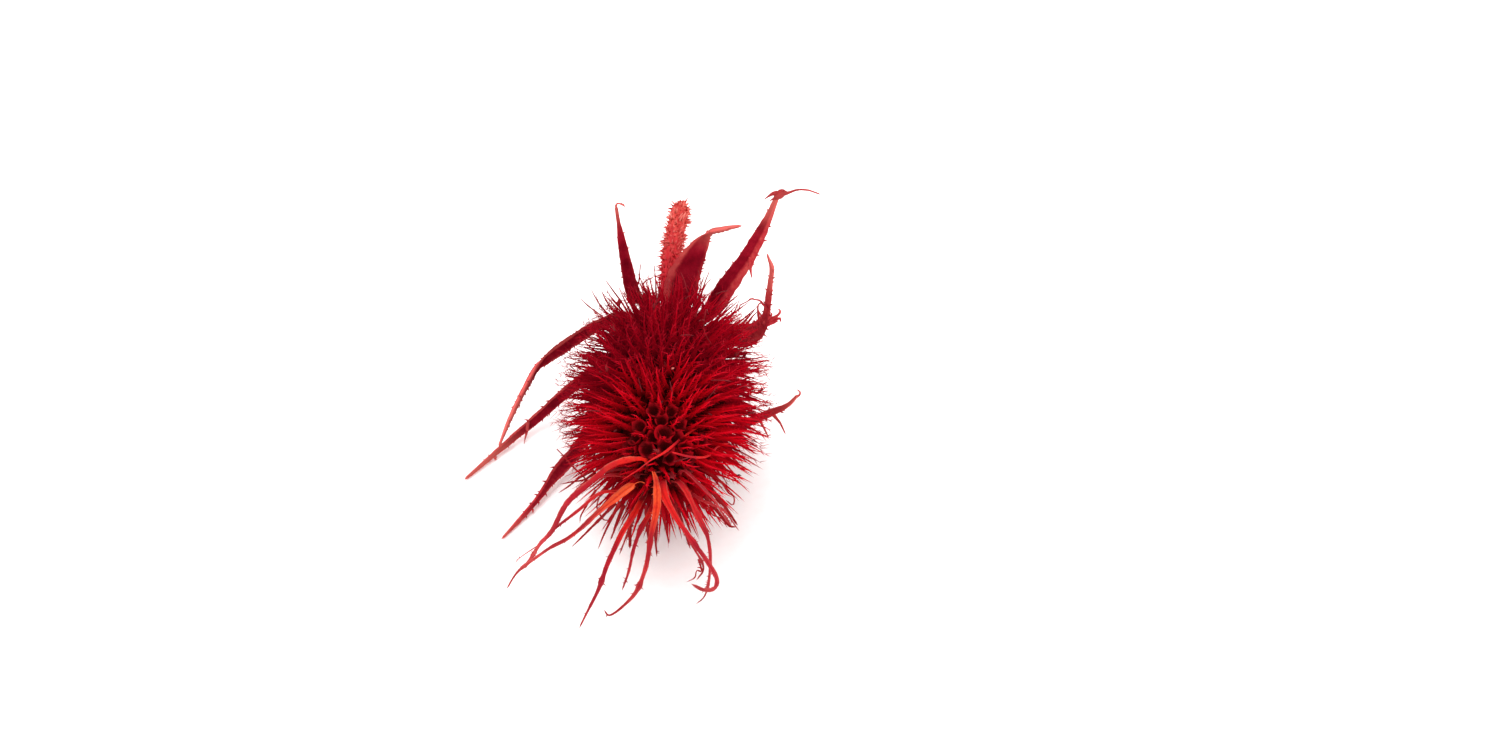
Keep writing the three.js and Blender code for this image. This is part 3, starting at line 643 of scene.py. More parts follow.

# The bracts. Painted light makes one edge lighter, on the side that pale says, from the share paleFrom
# outwards; lift paints a whole bract lighter or darker to stand in for light and shade.
plainBract = {"pale": 0, "paleFrom": 1, "lift": 0, "edgePaleLight": 0, "toothSize": 0.6, "hollow": 0.25,
              "strands": []}
bracts = [
    {"name": "bract_top_broad", "pale": -1, "paleFrom": 0.35, "edgePaleLight": 0.35, "teeth": [0.35, 1.3],
     "toothSize": 0.45, "paleTipFrom": 0.62, "hollow": 0.3,
     "points": [[0.3, 25.2, 5.6, 3], [0.6, 27, 6.6, 5], [1.4, 28, 8.9, 7.4], [2.7, 29, 13.7, 7],
                [4.2, 29.6, 17, 5.8], [6, 30, 20.4, 4], [7.9, 30.4, 22.6, 2], [10.6, 31, 23.2, 1.3],
                [14.8, 32, 23.7, 0.7]]},
    {"name": "bract_top_right", "pale": 1, "paleFrom": 0.05, "lift": -0.12, "teeth": [0.2, 0.3],
     "paleTipFrom": 0.72, "hollow": 0.3,
     "points": [[3.9, 26.9, 3.6, 2.4], [6.4, 26.7, 3.6, 3.2], [8.3, 26.8, 5.2, 3.8],
                [10, 27, 8.1, 4.3], [12.2, 27.4, 12, 4.2], [15.8, 27.4, 18.1, 3.5],
                [18.6, 27, 24.3, 2.9], [20.7, 26, 30.1, 1.8], [22.8, 24.4, 37.1, 0.9]],
     "strands": [
         {"light": 0.4, "fade": 0.4, "routes": [
             [[22.2, 24.8, 35.6, 1.1], [22.9, 24.4, 36.6, 1.9], [23.6, 24.4, 37.3, 1.6],
              [24.6, 24.2, 37.4, 0.7], [26.6, 24, 38.4, 0.45], [28.9, 23.8, 38.5, 0.4],
              [31.5, 23.6, 37.6, 0.25]],
         ]},
         {"light": 0.4, "fade": 0.3, "routes": [
             [[23.2, 24.4, 36.8, 1.2], [22.2, 24.5, 37.2, 0.9], [20.6, 24.6, 36.2, 0.4],
              [19.8, 24.6, 35.4, 0.15]],
             [[22.8, 24.5, 36, 0.9], [21.7, 24.7, 35.6, 0.5], [21, 24.8, 34.9, 0.2]],
             [[22.6, 24.3, 37.1, 1.1], [23.2, 24.3, 37.9, 0.8], [24, 24.2, 38.2, 0.25]],
         ]},
         {"light": 0.9, "fade": 0, "routes": [
             [[17, 27.3, 19, 1.1], [17, 27.2, 17.6, 1.3], [16.9, 27.1, 16.2, 0.7],
              [17.2, 27, 13.7, 0.2]],
         ]},
     ]},
    {"name": "bract_right_bent", "lift": 0.6, "teeth": [0.5, 0.6], "paleTipFrom": 0.64,
     "points": [[5.3, 25.4, -0.5, 2.8], [8.5, 26.6, -1.2, 4], [12, 26.2, -0.8, 5.6],
                [15.8, 24.6, 0.6, 5.8], [18.8, 22.8, 3.4, 3.8], [20.4, 21.6, 7.6, 2.1],
                [21, 20.9, 12.6, 1.75], [21.3, 20.3, 16.9, 1.5], [21.6, 19.9, 21.2, 1.15],
                [21, 19.5, 23.8, 0.7], [20.6, 19.2, 25.6, 0.4]],
     "strands": [
         {"light": 0.7, "fade": 0.2, "routes": [
             [[19.8, 22.3, 5.2, 1.5], [21.1, 21.8, 6.5, 1.2], [22.3, 21.5, 7.6, 0.8],
              [23.2, 21.2, 8.7, 0.6], [23.4, 21, 9.8, 0.4], [22.8, 21, 10.2, 0.2]],
         ]},
         {"light": 0.8, "fade": 0.3, "routes": [
             [[19.8, 22, 5.4, 0.8], [20.9, 21.8, 6.8, 0.9], [21.6, 21.4, 8.4, 0.5],
              [21.4, 21.2, 9, 0.2]],
         ]},
         {"light": 0.7, "fade": 0.1, "routes": [
             [[20.9, 21.8, 6.1, 0.9], [22.2, 21.4, 6.7, 0.8], [23.3, 21.2, 7.6, 0.6],
              [23.6, 21, 6.6, 0.2]],
         ]},
         {"light": 0.8, "fade": 0.1, "routes": [
             [[20.6, 22, 5, 0.7], [21.8, 21.9, 5.8, 0.8], [22.9, 21.6, 6.4, 0.2]],
         ]},
         {"light": 0.5, "fade": 0, "routes": [
             [[20.6, 20.8, 10.6, 0.7], [19.6, 20.8, 11.6, 0.5], [19.2, 20.8, 12.3, 0.4],
              [18.1, 20.8, 12.6, 0.35], [17.3, 20.8, 12.8, 0.4], [16.4, 21, 11.9, 0.25],
              [14.9, 21.3, 10.6, 0.25], [14.5, 21.6, 8.7, 0.3]],
         ]},
         {"light": 0.6, "fade": 0, "routes": [
             [[19.4, 20.9, 11.7, 0.35], [18.9, 21, 11.3, 0.3], [18.7, 21.2, 9.7, 0.3],
              [19.6, 21.5, 7.4, 0.5]],
             [[19.2, 22.8, 4.4, 0.9], [18.7, 22.4, 7.4, 0.5], [18.5, 22, 10, 0.15]],
             [[16, 23.6, 3.6, 0.7], [17.4, 23, 6.4, 0.4], [18.7, 22.4, 8.5, 0.12]],
             [[14.2, 24, 2.6, 0.7], [16.8, 23, 6.6, 0.35], [18.6, 22, 10.2, 0.12]],
             [[13, 24, 2.8, 0.7], [15.8, 23.2, 6, 0.35], [18, 22.6, 8.9, 0.12]],
             [[11, 24, 3.4, 0.7], [14, 23.6, 7.4, 0.35], [16.8, 23, 10.4, 0.12]],
             [[10, 24, 5.2, 0.6], [12.6, 23.4, 8.3, 0.35], [14.3, 23, 10.4, 0.12]],
             [[10, 24, 6, 0.6], [12.6, 23.6, 9.8, 0.35], [14.8, 23, 12.4, 0.12]],
             [[9.4, 24, 7, 0.6], [11.4, 23.7, 10, 0.35], [12.6, 23.4, 11.7, 0.12]],
         ]},
     ]},
    {"name": "bract_right_low", "lift": 0.45, "teeth": [0.3, 0.4], "toothSize": 0.7, "paleTipFrom": 0.8,
     "points": [[4.3, 26.9, -3.05, 2], [9.5, 27, -9, 2.4], [12.8, 21.6, -14.4, 2.4],
                [14.6, 16, -16, 2.3], [16, 12.6, -15, 2.2], [17.8, 11, -12.6, 2.2],
                [21.7, 9, -8.7, 1.9], [25.3, 7, -5, 1.2], [27.6, 5.8, -1.1, 0.7]],
     "strands": [
         {"light": 0.5, "fade": 0.3, "routes": [
             [[22.3, 8.6, -8.6, 0.8], [23.9, 7.4, -10, 0.55], [25.1, 6, -11.9, 0.2]],
             [[19.5, 9.8, -11.2, 0.7], [20.5, 8.6, -12.6, 0.45], [21.4, 7.4, -13.9, 0.2]],
         ]},
         {"light": 0.5, "fade": 0.5, "routes": [
             [[27.2, 5.9, -1.8, 0.6], [28, 5.7, -0.9, 0.5], [28, 5.7, -0.1, 0.35],
              [27.3, 5.8, 0.4, 0.15]],
         ]},
     ]},
    {"name": "bract_under_right", "lift": 0.1, "teeth": [0.4, 0.4], "paleTipFrom": 0.7,
     "points": [[1.8, 25.4, -4.95, 2], [3.8, 29.2, -10.2, 2.3], [7, 36, -16.6, 1.9],
                [10.2, 43.5, -19.9, 0.8]]},
    {"name": "bract_under_left", "lift": 0.1, "teeth": [0.4, 0.4], "paleTipFrom": 0.7,
     "points": [[-1.8, 26.9, -4.95, 2], [-5, 30, -10.3, 2.2], [-9, 34.4, -15.8, 1.8],
                [-12.4, 39, -19.4, 0.8]]},
    {"name": "bract_left_floor", "pale": 1, "paleFrom": 0.4, "lift": 0.2, "teeth": [0.6, 0.4],
     "toothSize": 0.7, "paleTipFrom": 0.85,
     "points": [[-3.9, 25.4, -3.5, 2], [-8.4, 26, -11.3, 2.4], [-13.5, 19, -16.2, 2.6],
                [-17.5, 11, -16.8, 2.9], [-20.6, 4, -17.5, 3.1], [-23.2, -0.3, -18.2, 2.9],
                [-24.9, -4, -18.7, 1.9], [-26.9, -8.8, -19.2, 1.3], [-30.2, -15, -19.9, 1.05],
                [-33, -20.2, -20.2, 0.5]]},
    {"name": "bract_left_low", "pale": 1, "paleFrom": 0.3, "lift": 0.05, "edgePaleLight": 0.45,
     "teeth": [0.5, 0.2], "paleTipFrom": 0.66, "hollow": 0.3,
     "points": [[-5.15, 26.9, -1.1, 2], [-10.5, 27.5, -5.5, 2.5], [-17.2, 26, -11.2, 2.8],
                [-20.9, 25, -13.7, 2.8], [-25.2, 22, -16.1, 2.7], [-28.9, 18, -17.7, 2.4],
                [-34.7, 10.5, -18.9, 1.7], [-43, -1.4, -20.1, 0.7]],
     "strands": [
         {"light": 0.6, "fade": 0.4, "routes": [
             [[-31.2, 15, -17.4, 0.9], [-31.4, 14, -19.1, 0.6], [-31.6, 12.6, -19.8, 0.35],
              [-31.7, 11, -20.2, 0.15]],
             [[-31.3, 14.4, -18.6, 0.5], [-32, 13.9, -19, 0.35], [-32.3, 13.6, -18.8, 0.15]],
         ]},
     ]},
    {"name": "bract_left_arched", "pale": 1, "paleFrom": 0, "lift": 0.1, "edgePaleLight": 0.55,
     "teeth": [0.9, 0.25], "toothSize": 0.5, "paleTipFrom": 0.62, "hollow": 0.3,
     "points": [[-4.9, 25.4, 1.8, 2], [-8, 26.4, 3.2, 2.6], [-11.3, 26.2, 3.7, 3.2],
                [-14.5, 26, 2.5, 3.7], [-19.3, 25, 0, 3.8], [-23.8, 22, -1.9, 3.6],
                [-26.4, 18.5, -2, 3], [-28.2, 15.5, -2.3, 1.6], [-30.2, 10, -3.7, 1.4],
                [-32.4, 3, -5.5, 1.15], [-34.4, -6, -7.1, 0.6]]},
    {"name": "bract_top_left", "teeth": [0.2, 0.15], "toothSize": 0.4, "paleTipFrom": 0.8, "hollow": 0.35,
     "points": [[-3, 26.9, 4.4, 2.2], [-5.4, 27.9, 6.2, 2.8], [-7.8, 27.8, 8, 3.1],
                [-8.8, 27.4, 11, 3.1], [-9.5, 26.6, 16.7, 2.6], [-10.2, 25.4, 23.6, 1.9],
                [-10.6, 24.2, 29.1, 0.9], [-10.9, 23, 34.2, 0.7]],
     "strands": [
         {"light": 0.6, "fade": 0.8, "routes": [
             [[-10.9, 23, 34, 0.5], [-10.7, 23, 34.8, 0.4], [-9.9, 22.8, 34.9, 0.35],
              [-9.2, 22.6, 34.7, 0.5], [-9, 22.6, 34.3, 0.2]],
             [[-10, 22.9, 34.8, 0.35], [-9.6, 22.6, 35.2, 0.15]],
         ]},
     ]},
]
bracts = [{**plainBract, **made} for made in bracts]


def bladeAxes(path, share):  # a bract's middle, the way it runs, and its hollow side towards the head
    spot = path.at(share)
    heading = path.heading(share)
    face = headCentre - spot
    face = (face - heading * face.dot(heading)).normalized()
    return spot, heading, heading.cross(face), face


def bentAwns():
    for ring in awnRings:
        polar = math.pi - math.asin(ring["radius"] / awn["tipRadius"])
        for index, made in enumerate(ring["awns"]):
            turn = index / len(ring["awns"]) * 2 * math.pi
            yield made, corePoint(polar, turn), coreNormal(polar, turn), turn


# The room that growing tips keep, in millimetres
clearance = {
    "awn": 1.3,
    "bractEdge": 0.7,
    "bractFace": 0.9,
    "search": 4.6,
    "step": 0.5,
    "back": 0.6,
    "shortest": 0.3,  # the least share of its length that a crowded one keeps
}


def obstacles():
    # Points along the awns and bracts, with the room that each keeps clear of tips: round it and, for
    # a flat blade, before and behind it.
    spots = []
    for made, root, _, _ in bentAwns():
        if made:
            path = Path([root, *[place(*point) for point in made["points"]]])
            count = math.ceil(path.length / mm)
            spots += [(path.at(share), clearance["awn"] * mm, None, 0) for share in evenShares(count)]
    for made in bracts:
        path = Path([place(*point[:3]) for point in made["points"]])
        width = widthAlong(made["points"])
        count = math.ceil(path.length / mm)
        for share in evenShares(count):
            spot, _, _, face = bladeAxes(path, share)
            wide = width(share)
            beside = wide / 2 + clearance["bractEdge"] * mm
            before = made["hollow"] * wide / 2 + clearance["bractFace"] * mm
            spots.append((spot, beside, face, before))
    tree = kdtree.KDTree(len(spots))
    for index, each in enumerate(spots):
        tree.insert(each[0], index)
    tree.balance()
    return spots, tree


def freeLength(root, direction, length, found):  # how far a spine grows before something is in its way
    spots, tree = found
    shortest = length * clearance["shortest"]
    reach = shortest
    while reach < length:
        tip = root + direction * reach
        for _, index, distance in tree.find_range(tip, clearance["search"] * mm):
            spot, beside, face, before = spots[index]
            if distance < beside and (face is None or abs((tip - spot).dot(face)) < before):
                return max(shortest, reach - clearance["back"] * mm)
        reach += clearance["step"] * mm
    return length


# The seed spines, one to each seed, in the spiral of a flower head
spine = {
    "seed": 7,
    "count": 960,
    "angles": [32, 144],  # degrees from the stem's end
    "lengths": [9.8, 11, 11.4, 11.3, 11.2, 11.8],  # millimetres, from the stem's end to the crown
    "leans": [0.15, 0.22, 0.24, 0.24, 0.22, 0.18],  # how far each leans to the crown
    "lengthSpread": 0.11,
    "turnSpread": 0.13,
    "tangle": [2.4, 1.3],  # how many times turnSpread, at the stem's end and at the crown
    "tangleBand": [0.45, 0.9],  # shares of the way to the crown, as in each band below
    "bristleCount": 90,  # thin and long, round the stem's end
    "bristleAngles": [29, 62],
    "bristleLengths": [8, 13.5],
    "crownCount": 96,  # more of them between the roots of the crown's awns
    "crownAngles": [146, 175],
    "crownLengths": [7, 11.5],
    "hangingFrom": 0.6,  # the share of the way where plain ones begin under the head
    "hangingTurns": [-0.35, 0.05],  # how low they begin, as the cosine of the turn from the top
    "fallen": 0.28,  # the share of those that have broken off
    "variants": 7,
    "templateLength": 10,
    "rows": [0, 0.17, 0.34, 0.52, 0.7, 0.86],
    "kinkFrom": 0.86,
    "hairRadius": 0.075,
    "rootDepth": 0.5,  # how far a root goes into the core, so that no gap shows under it
    "awnGap": 0.75,
    "cellGap": 0.8,
    "floorSoftness": 0.5,  # millimetres above the floor where a tip begins to bend along it
    "tone": 0.18,
    "toneSpread": 0.15,
    # painted light at the crown and on the right side, painted shade underneath the head
    "crownLight": 0.62,
    "crownBand": [0.48, 0.88],
    "sideLight": 0.24,
    "underShade": -0.5,
    "underShadeBand": [0.35, 0.9],
    "bristleTone": -0.25,
}
spineKinds = [
    {"upTo": 0.3, "widths": [1.1, 1.15, 0.75, 0.46, 0.3, 0.22, 0.16], "bend": 1.3, "kink": 0.5,
     "hairs": 11, "hairLengths": [0.7, 2.4], "hairSpan": [0.25, 0.95]},
    {"upTo": 0.7, "widths": [1.65, 1.7, 1, 0.5, 0.3, 0.23, 0.16], "bend": 1, "kink": 0.7,
     "hairs": 13, "hairLengths": [0.6, 2.2], "hairSpan": [0.25, 0.95]},
    {"upTo": 1, "widths": [1.6, 1.65, 0.95, 0.46, 0.3, 0.24, 0.18], "bend": 0.6, "kink": 0.8,
     "hairs": 11, "hairLengths": [0.5, 1.6], "hairSpan": [0.2, 0.75]},
    {"upTo": 9, "widths": [1.3, 1.25, 0.66, 0.44, 0.38, 0.32, 0.24], "bend": 0.2, "kink": 0.4,
     "hairs": 5, "hairLengths": [0.3, 1.1], "hairSpan": [0.2, 0.6]},
    {"upTo": 9, "widths": [0.5, 0.48, 0.42, 0.36, 0.3, 0.24, 0.18], "bend": 1.6, "kink": 0.8,
     "hairs": 3, "hairLengths": [0.5, 1.8], "hairSpan": [0.3, 0.95]},
]
hangingKind = 3  # plain and straight, below the crown
bristleKind = 4
# Cells that a seed has left open: the angle from the stem's end and the angle round the axis
openCells = [[133, 4], [140, 8], [142, -4], [149, -12], [147, 12], [133, 22], [141, 22], [141, -26],
             [144, 36], [135, -18], [153, 20], [149, 46], [145, -34], [127, 12], [127, -4], [134, 50]]
# The torn wall round each, in rings from its foot over its rim to the bottom inside
cell = {
    "corners": 12,
    "radii": [0.6, 0.8, 1.6, 1.5, 0.95, 0.7],
    "heights": [-0.6, 2, 4.6, 4.7, 3.7, 2],
    "bottom": 0.8,
    "rimRings": [2, 3],
    "rimHeights": [0.75, 1.15],
    "rimReaches": [0.85, 1.2],
    "sizes": [0.85, 1.15],
    "paleFrom": 3.4,  # millimetres up the wall; below it the wall is painted shade, near black
    "paleTo": 5.3,
    "paleness": 0.32,
    "lean": 0.18,
    "tones": [0, 0.4],
}


def spineTemplate(kind, dice):
    # A keeled blade along +Z, its hollow side to +Y, with a kinked tip and hairs along its edges.
    full = spine["templateLength"]
    bendX = dice.uniform(-1, 1) * kind["bend"]
    bendY = dice.uniform(-0.6, 1) * kind["bend"]
    kinkX = dice.uniform(-1, 1) * dice.random() * 1.5 * kind["kink"]
    kinkY = dice.uniform(-1, 1) * dice.random() * 1.5 * kind["kink"]

    def midline(share):
        past = max(0, share - spine["kinkFrom"]) / (1 - spine["kinkFrom"])
        fall = 0.4 * math.hypot(kinkX, kinkY) * past
        x = bendX * share**2 + kinkX * past
        y = bendY * share**2 + kinkY * past
        return Vector((x, y, full * share - fall)) * mm

    def shape(turn, share):
        width = fromList(kind["widths"], share)
        corner = round(turn * 4)
        across = (0.5, 0, -0.5, 0)[corner] * width
        out = (0.2 * width, -0.2 * width + 0.08, 0.2 * width, -0.3 * width - 0.05)[corner]
        return midline(share) + Vector((across, out, 0)) * mm

    bm = loft(4, spine["rows"], shape, midline(1))
    for _ in range(kind["hairs"]):
        share = dice.uniform(*kind["hairSpan"])
        side = dice.choice((-1, 1))
        width = fromList(kind["widths"], share)
        spot = midline(share) + Vector((side * width * 0.42, 0.1 * width, 0)) * mm
        aim = Vector((side * dice.uniform(0.3, 1.4), dice.uniform(-0.8, 0.8), 1)).normalized()
        size = dice.uniform(*kind["hairLengths"])
        hair = coneMesh(size * mm, spine["hairRadius"] * mm, start=share * 0.9, end=min(1, share + 0.2))
        addTo(bm, hair, standing(spot, aim), keep=False)
    return asMesh(bm, "spine template")


def cellMesh(dice):  # a funnel along +Z
    corners = cell["corners"]
    last = len(cell["radii"]) - 1
    size = dice.uniform(*cell["sizes"])
    heights = [dice.uniform(*cell["rimHeights"]) for _ in range(corners)]
    reaches = [dice.uniform(*cell["rimReaches"]) for _ in range(corners)]

    def shape(turn, share):
        ring = round(share * last)
        corner = round(turn * corners) % corners
        radius = cell["radii"][ring] * size
        height = cell["heights"][ring]
        if ring in cell["rimRings"]:
            height *= heights[corner]
            radius *= reaches[corner]
        angle = turn * 2 * math.pi
        return Vector((radius * math.cos(angle), radius * math.sin(angle), height)) * mm

    bm = loft(corners, evenShares(last), shape, Vector((0, 0, cell["bottom"] * mm)))
    # painted shade: the wall is near black deep in the cell and paler towards its rim
    along = layer(bm, "along")
    for vert in bm.verts:
        vert[along] = cell["paleness"] * smooth(cell["paleFrom"], cell["paleTo"], vert.co.z / mm)
    return asMesh(bm, "cell wall")


def evenAngles(count, first, last):  # angles that give each root the same share of the core's skin
    angles = [lerp(first, last, share) for share in evenShares(400)]
    areas = [0]
    for angle in angles[1:]:
        areas.append(areas[-1] + coreRadius(angle) * math.hypot(*coreSlope(angle)))
    found = []
    step = 1
    for index in range(count):
        wanted = (index + 0.5) / count * areas[-1]
        while areas[step] < wanted:
            step += 1
        part = (wanted - areas[step - 1]) / (areas[step] - areas[step - 1])
        found.append(lerp(angles[step - 1], angles[step], part))
    return found


def layOnFloor(bm):  # tips that would pass through the floor bend along it
    soft = spine["floorSoftness"] * mm
    for vert in bm.verts:
        if vert.co.z < soft:
            vert.co.z = soft * math.exp((vert.co.z - soft) / soft)


def spineTone(share, turn, crown, dice):  # painted light brighter at the crown and on the lit side, painted shade underneath, on top of a random tone
    under = max(0, -math.cos(turn)) * smooth(*spine["underShadeBand"], share)
    tone = spine["tone"] + spine["toneSpread"] * dice.gauss(0, 1) + spine["crownLight"] * crown
    return tone + spine["sideLight"] * math.sin(turn) + spine["underShade"] * under


def seedSpines(finish, found):
    dice = random.Random(spine["seed"])
    templates = [[spineTemplate(kind, dice) for _ in range(spine["variants"])] for kind in spineKinds]
    bm = bmesh.new()
    angles = []
    for count, ends in (("count", "angles"), ("crownCount", "crownAngles"),
                        ("bristleCount", "bristleAngles")):
        angles += evenAngles(spine[count], *[math.radians(angle) for angle in spine[ends]])
    cells = [(math.radians(polar), math.radians(turn)) for polar, turn in openCells]
    bare = [(root, spine["awnGap"] * mm) for _, root, _, _ in bentAwns()]
    bare += [(corePoint(polar, turn), spine["cellGap"] * mm) for polar, turn in cells]
    for index, polar in enumerate(angles):
        turn = index * goldenAngle
        isBristle = index >= spine["count"] + spine["crownCount"]
        share = 0 if isBristle else min(1, index / (spine["count"] - 1))
        root = corePoint(polar, turn)
        if any((root - other).length < gap for other, gap in bare):
            continue
        direction = (coreNormal(polar, turn) + toCrown * fromList(spine["leans"], share)).normalized()
        jitter = Vector([dice.uniform(-1, 1) for _ in range(3)]) * spine["turnSpread"]
        tangle = lerp(*spine["tangle"], smooth(*spine["tangleBand"], share))
        direction = (direction + jitter * tangle).normalized()
        grown = fromList(spine["lengths"], share) * (1 + dice.uniform(-1, 1) * spine["lengthSpread"]) * mm
        if index >= spine["count"]:
            grown = dice.uniform(*spine["bristleLengths" if isBristle else "crownLengths"]) * mm
        length = freeLength(root, direction, grown, found)
        kind = next(i for i, each in enumerate(spineKinds) if share <= each["upTo"])
        if share > spine["hangingFrom"] and math.cos(turn) < dice.uniform(*spine["hangingTurns"]):
            kind = hangingKind
            if dice.random() < spine["fallen"]:
                continue
        if isBristle:
            kind = bristleKind
        template = dice.choice(templates[kind])
        crown = smooth(*spine["crownBand"], share)
        tone = spineTone(share, turn, crown, dice) + spine["bristleTone"] * isBristle
        stretch = (length / mm + spine["rootDepth"]) / spine["templateLength"]
        foot = root - direction * spine["rootDepth"] * mm
        matrix = standing(foot, direction, toCrown.cross(direction), (1, 1, stretch))
        addTo(bm, template, matrix, tone=tone, crown=crown)
    for polar, turn in cells:
        direction = coreNormal(polar, turn) + toCrown * cell["lean"]
        wall = cellMesh(dice)
        addTo(bm, wall, standing(corePoint(polar, turn), direction), keep=False,
              tone=dice.uniform(*cell["tones"]), crown=1)
    layOnFloor(bm)
    return piece(bm, "seed_spines", [finish], "head", "spiny_head")


def awnMesh(path, widths, knots, torn, dice):
    # A long awn: a channelled blade that grows thin, with knots and small prickles. One that is torn
    # hangs by a fibre up to the share where its blade begins.
    corners = len(awn["across"])
    count = max(8, round(path.length / mm / awn["rowStep"]))
    heading = path.heading(0)
    side = heading.cross(Vector((0, 0, 1))).normalized()
    across = [side]
    for row in range(1, count + 1):
        turned = heading.rotation_difference(path.heading(row / count))
        heading = path.heading(row / count)
        side = side.copy()
        side.rotate(turned)
        across.append(side)
    seed = dice.uniform(0, 100)

    def size(share):
        step = share * path.length / mm
        away = [(share - knot) * path.length / mm / awn["knotLength"] for knot in knots]
        swell = sum(math.exp(-(each**2)) for each in away)
        grit = awn["grit"] * noise.noise(Vector((step / awn["gritStep"], seed, 0)))
        blade = lerp(awn["fibre"], 1, smooth(torn - 0.01, torn + 0.012, share)) if torn else 1
        return fromList(widths, share) * (1 + awn["knotSwell"] * swell + grit) * blade * mm

    def midline(share):
        spot = Vector((share * path.length / mm / 5, seed, 7))
        return path.at(share) + noise.noise_vector(spot) * awn["wobble"] * mm * smooth(0, 0.2, share)

    def shape(turn, share):
        row = round(share * count)
        x = across[row]
        out = x.cross(path.heading(share))
        corner = round(turn * corners)
        width = awn["across"][corner] * size(share)
        lift = awn["lift"][corner] * size(share)
        return midline(share) + x * width + out * lift

    bm = loft(corners, evenShares(count), shape, midline(1) + path.heading(1) * 0.4 * mm)
    rim = layer(bm, "rim")
    turn = layer(bm, "turn")
    for vert in bm.verts:
        vert[rim] = awn["rim"][round(vert[turn] * corners)]
    spots = [dice.uniform(0.15, 0.97) for _ in range(round(path.length / mm / awn["prickleStep"]))]
    for knot in knots:
        spots += [knot + dice.uniform(-0.7, 0.7) * mm / path.length for _ in range(awn["knotPrickles"])]
    for share in spots:
        if share < torn:
            continue
        row = round(share * count)
        edge = across[row] * dice.choice((-1, 1))
        aim = (edge + path.heading(share) * dice.uniform(-0.3, 1.2)).normalized()
        length = dice.uniform(*awn["prickleLengths"]) * mm
        prickle = coneMesh(length, awn["prickleRadius"] * mm, 4, start=share, end=share)
        addTo(bm, prickle, standing(midline(share) + edge * 0.4 * size(share), aim), keep=False, rim=0.5)
    return asMesh(bm, "awn")


def crownAwns(finish, found):
    dice = random.Random(awn["seed"])
    bm = bmesh.new()
    for made, root, normal, turn in bentAwns():
        start = root - normal * awn["rootDepth"] * mm
        if made:
            path = Path([start, *[place(*point) for point in made["points"]]])
            mesh = awnMesh(path, made["widths"], made["knots"], made.get("torn", 0), dice)
            glow = made["glow"]
            tone = dice.uniform(0.75, 1)
        else:
            length = freeLength(root, normal, awn["straightLength"] * mm * dice.uniform(0.8, 1), found)
            bend = Vector([dice.uniform(-1, 1) for _ in range(3)]) * 0.8 * mm
            path = Path([start, root + normal * length * 0.5 + bend, root + normal * length])
            mesh = awnMesh(path, awn["straightWidths"], [dice.uniform(0.5, 0.9)], 0, dice)
            # painted orange highlight on some of the lower straight awns, partly their own colour
            glow = max(0, 0.4 * -math.cos(turn)) * dice.random()
            tone = dice.uniform(0.2, 0.6)
        addTo(bm, mesh, keep=False, glow=glow, tone=tone)
    addStrands(bm, headThreads, threadLook, dice)
    layOnFloor(bm)
    return piece(bm, "crown_awns", [finish], "head", "spiny_head")


# How every bract is made
bractMake = {
    "seed": 200,
    "corners": 20,
    "rowStep": 0.55,
    "thickness": 0.42,
    "midrib": 0.32,
    "midribWidth": 0.16,  # as a share of half the blade
    "ragged": 0.1,
    "crumple": 0.3,
    "ripple": 0.12,
    "ribs": 22,
    "keelStep": 2.2,
    "keelLengths": [0.5, 1.2],
    "toothSpread": [0.4, 1.9],
    "underside": 0.2,  # how much lighter it is than the hollow side
}


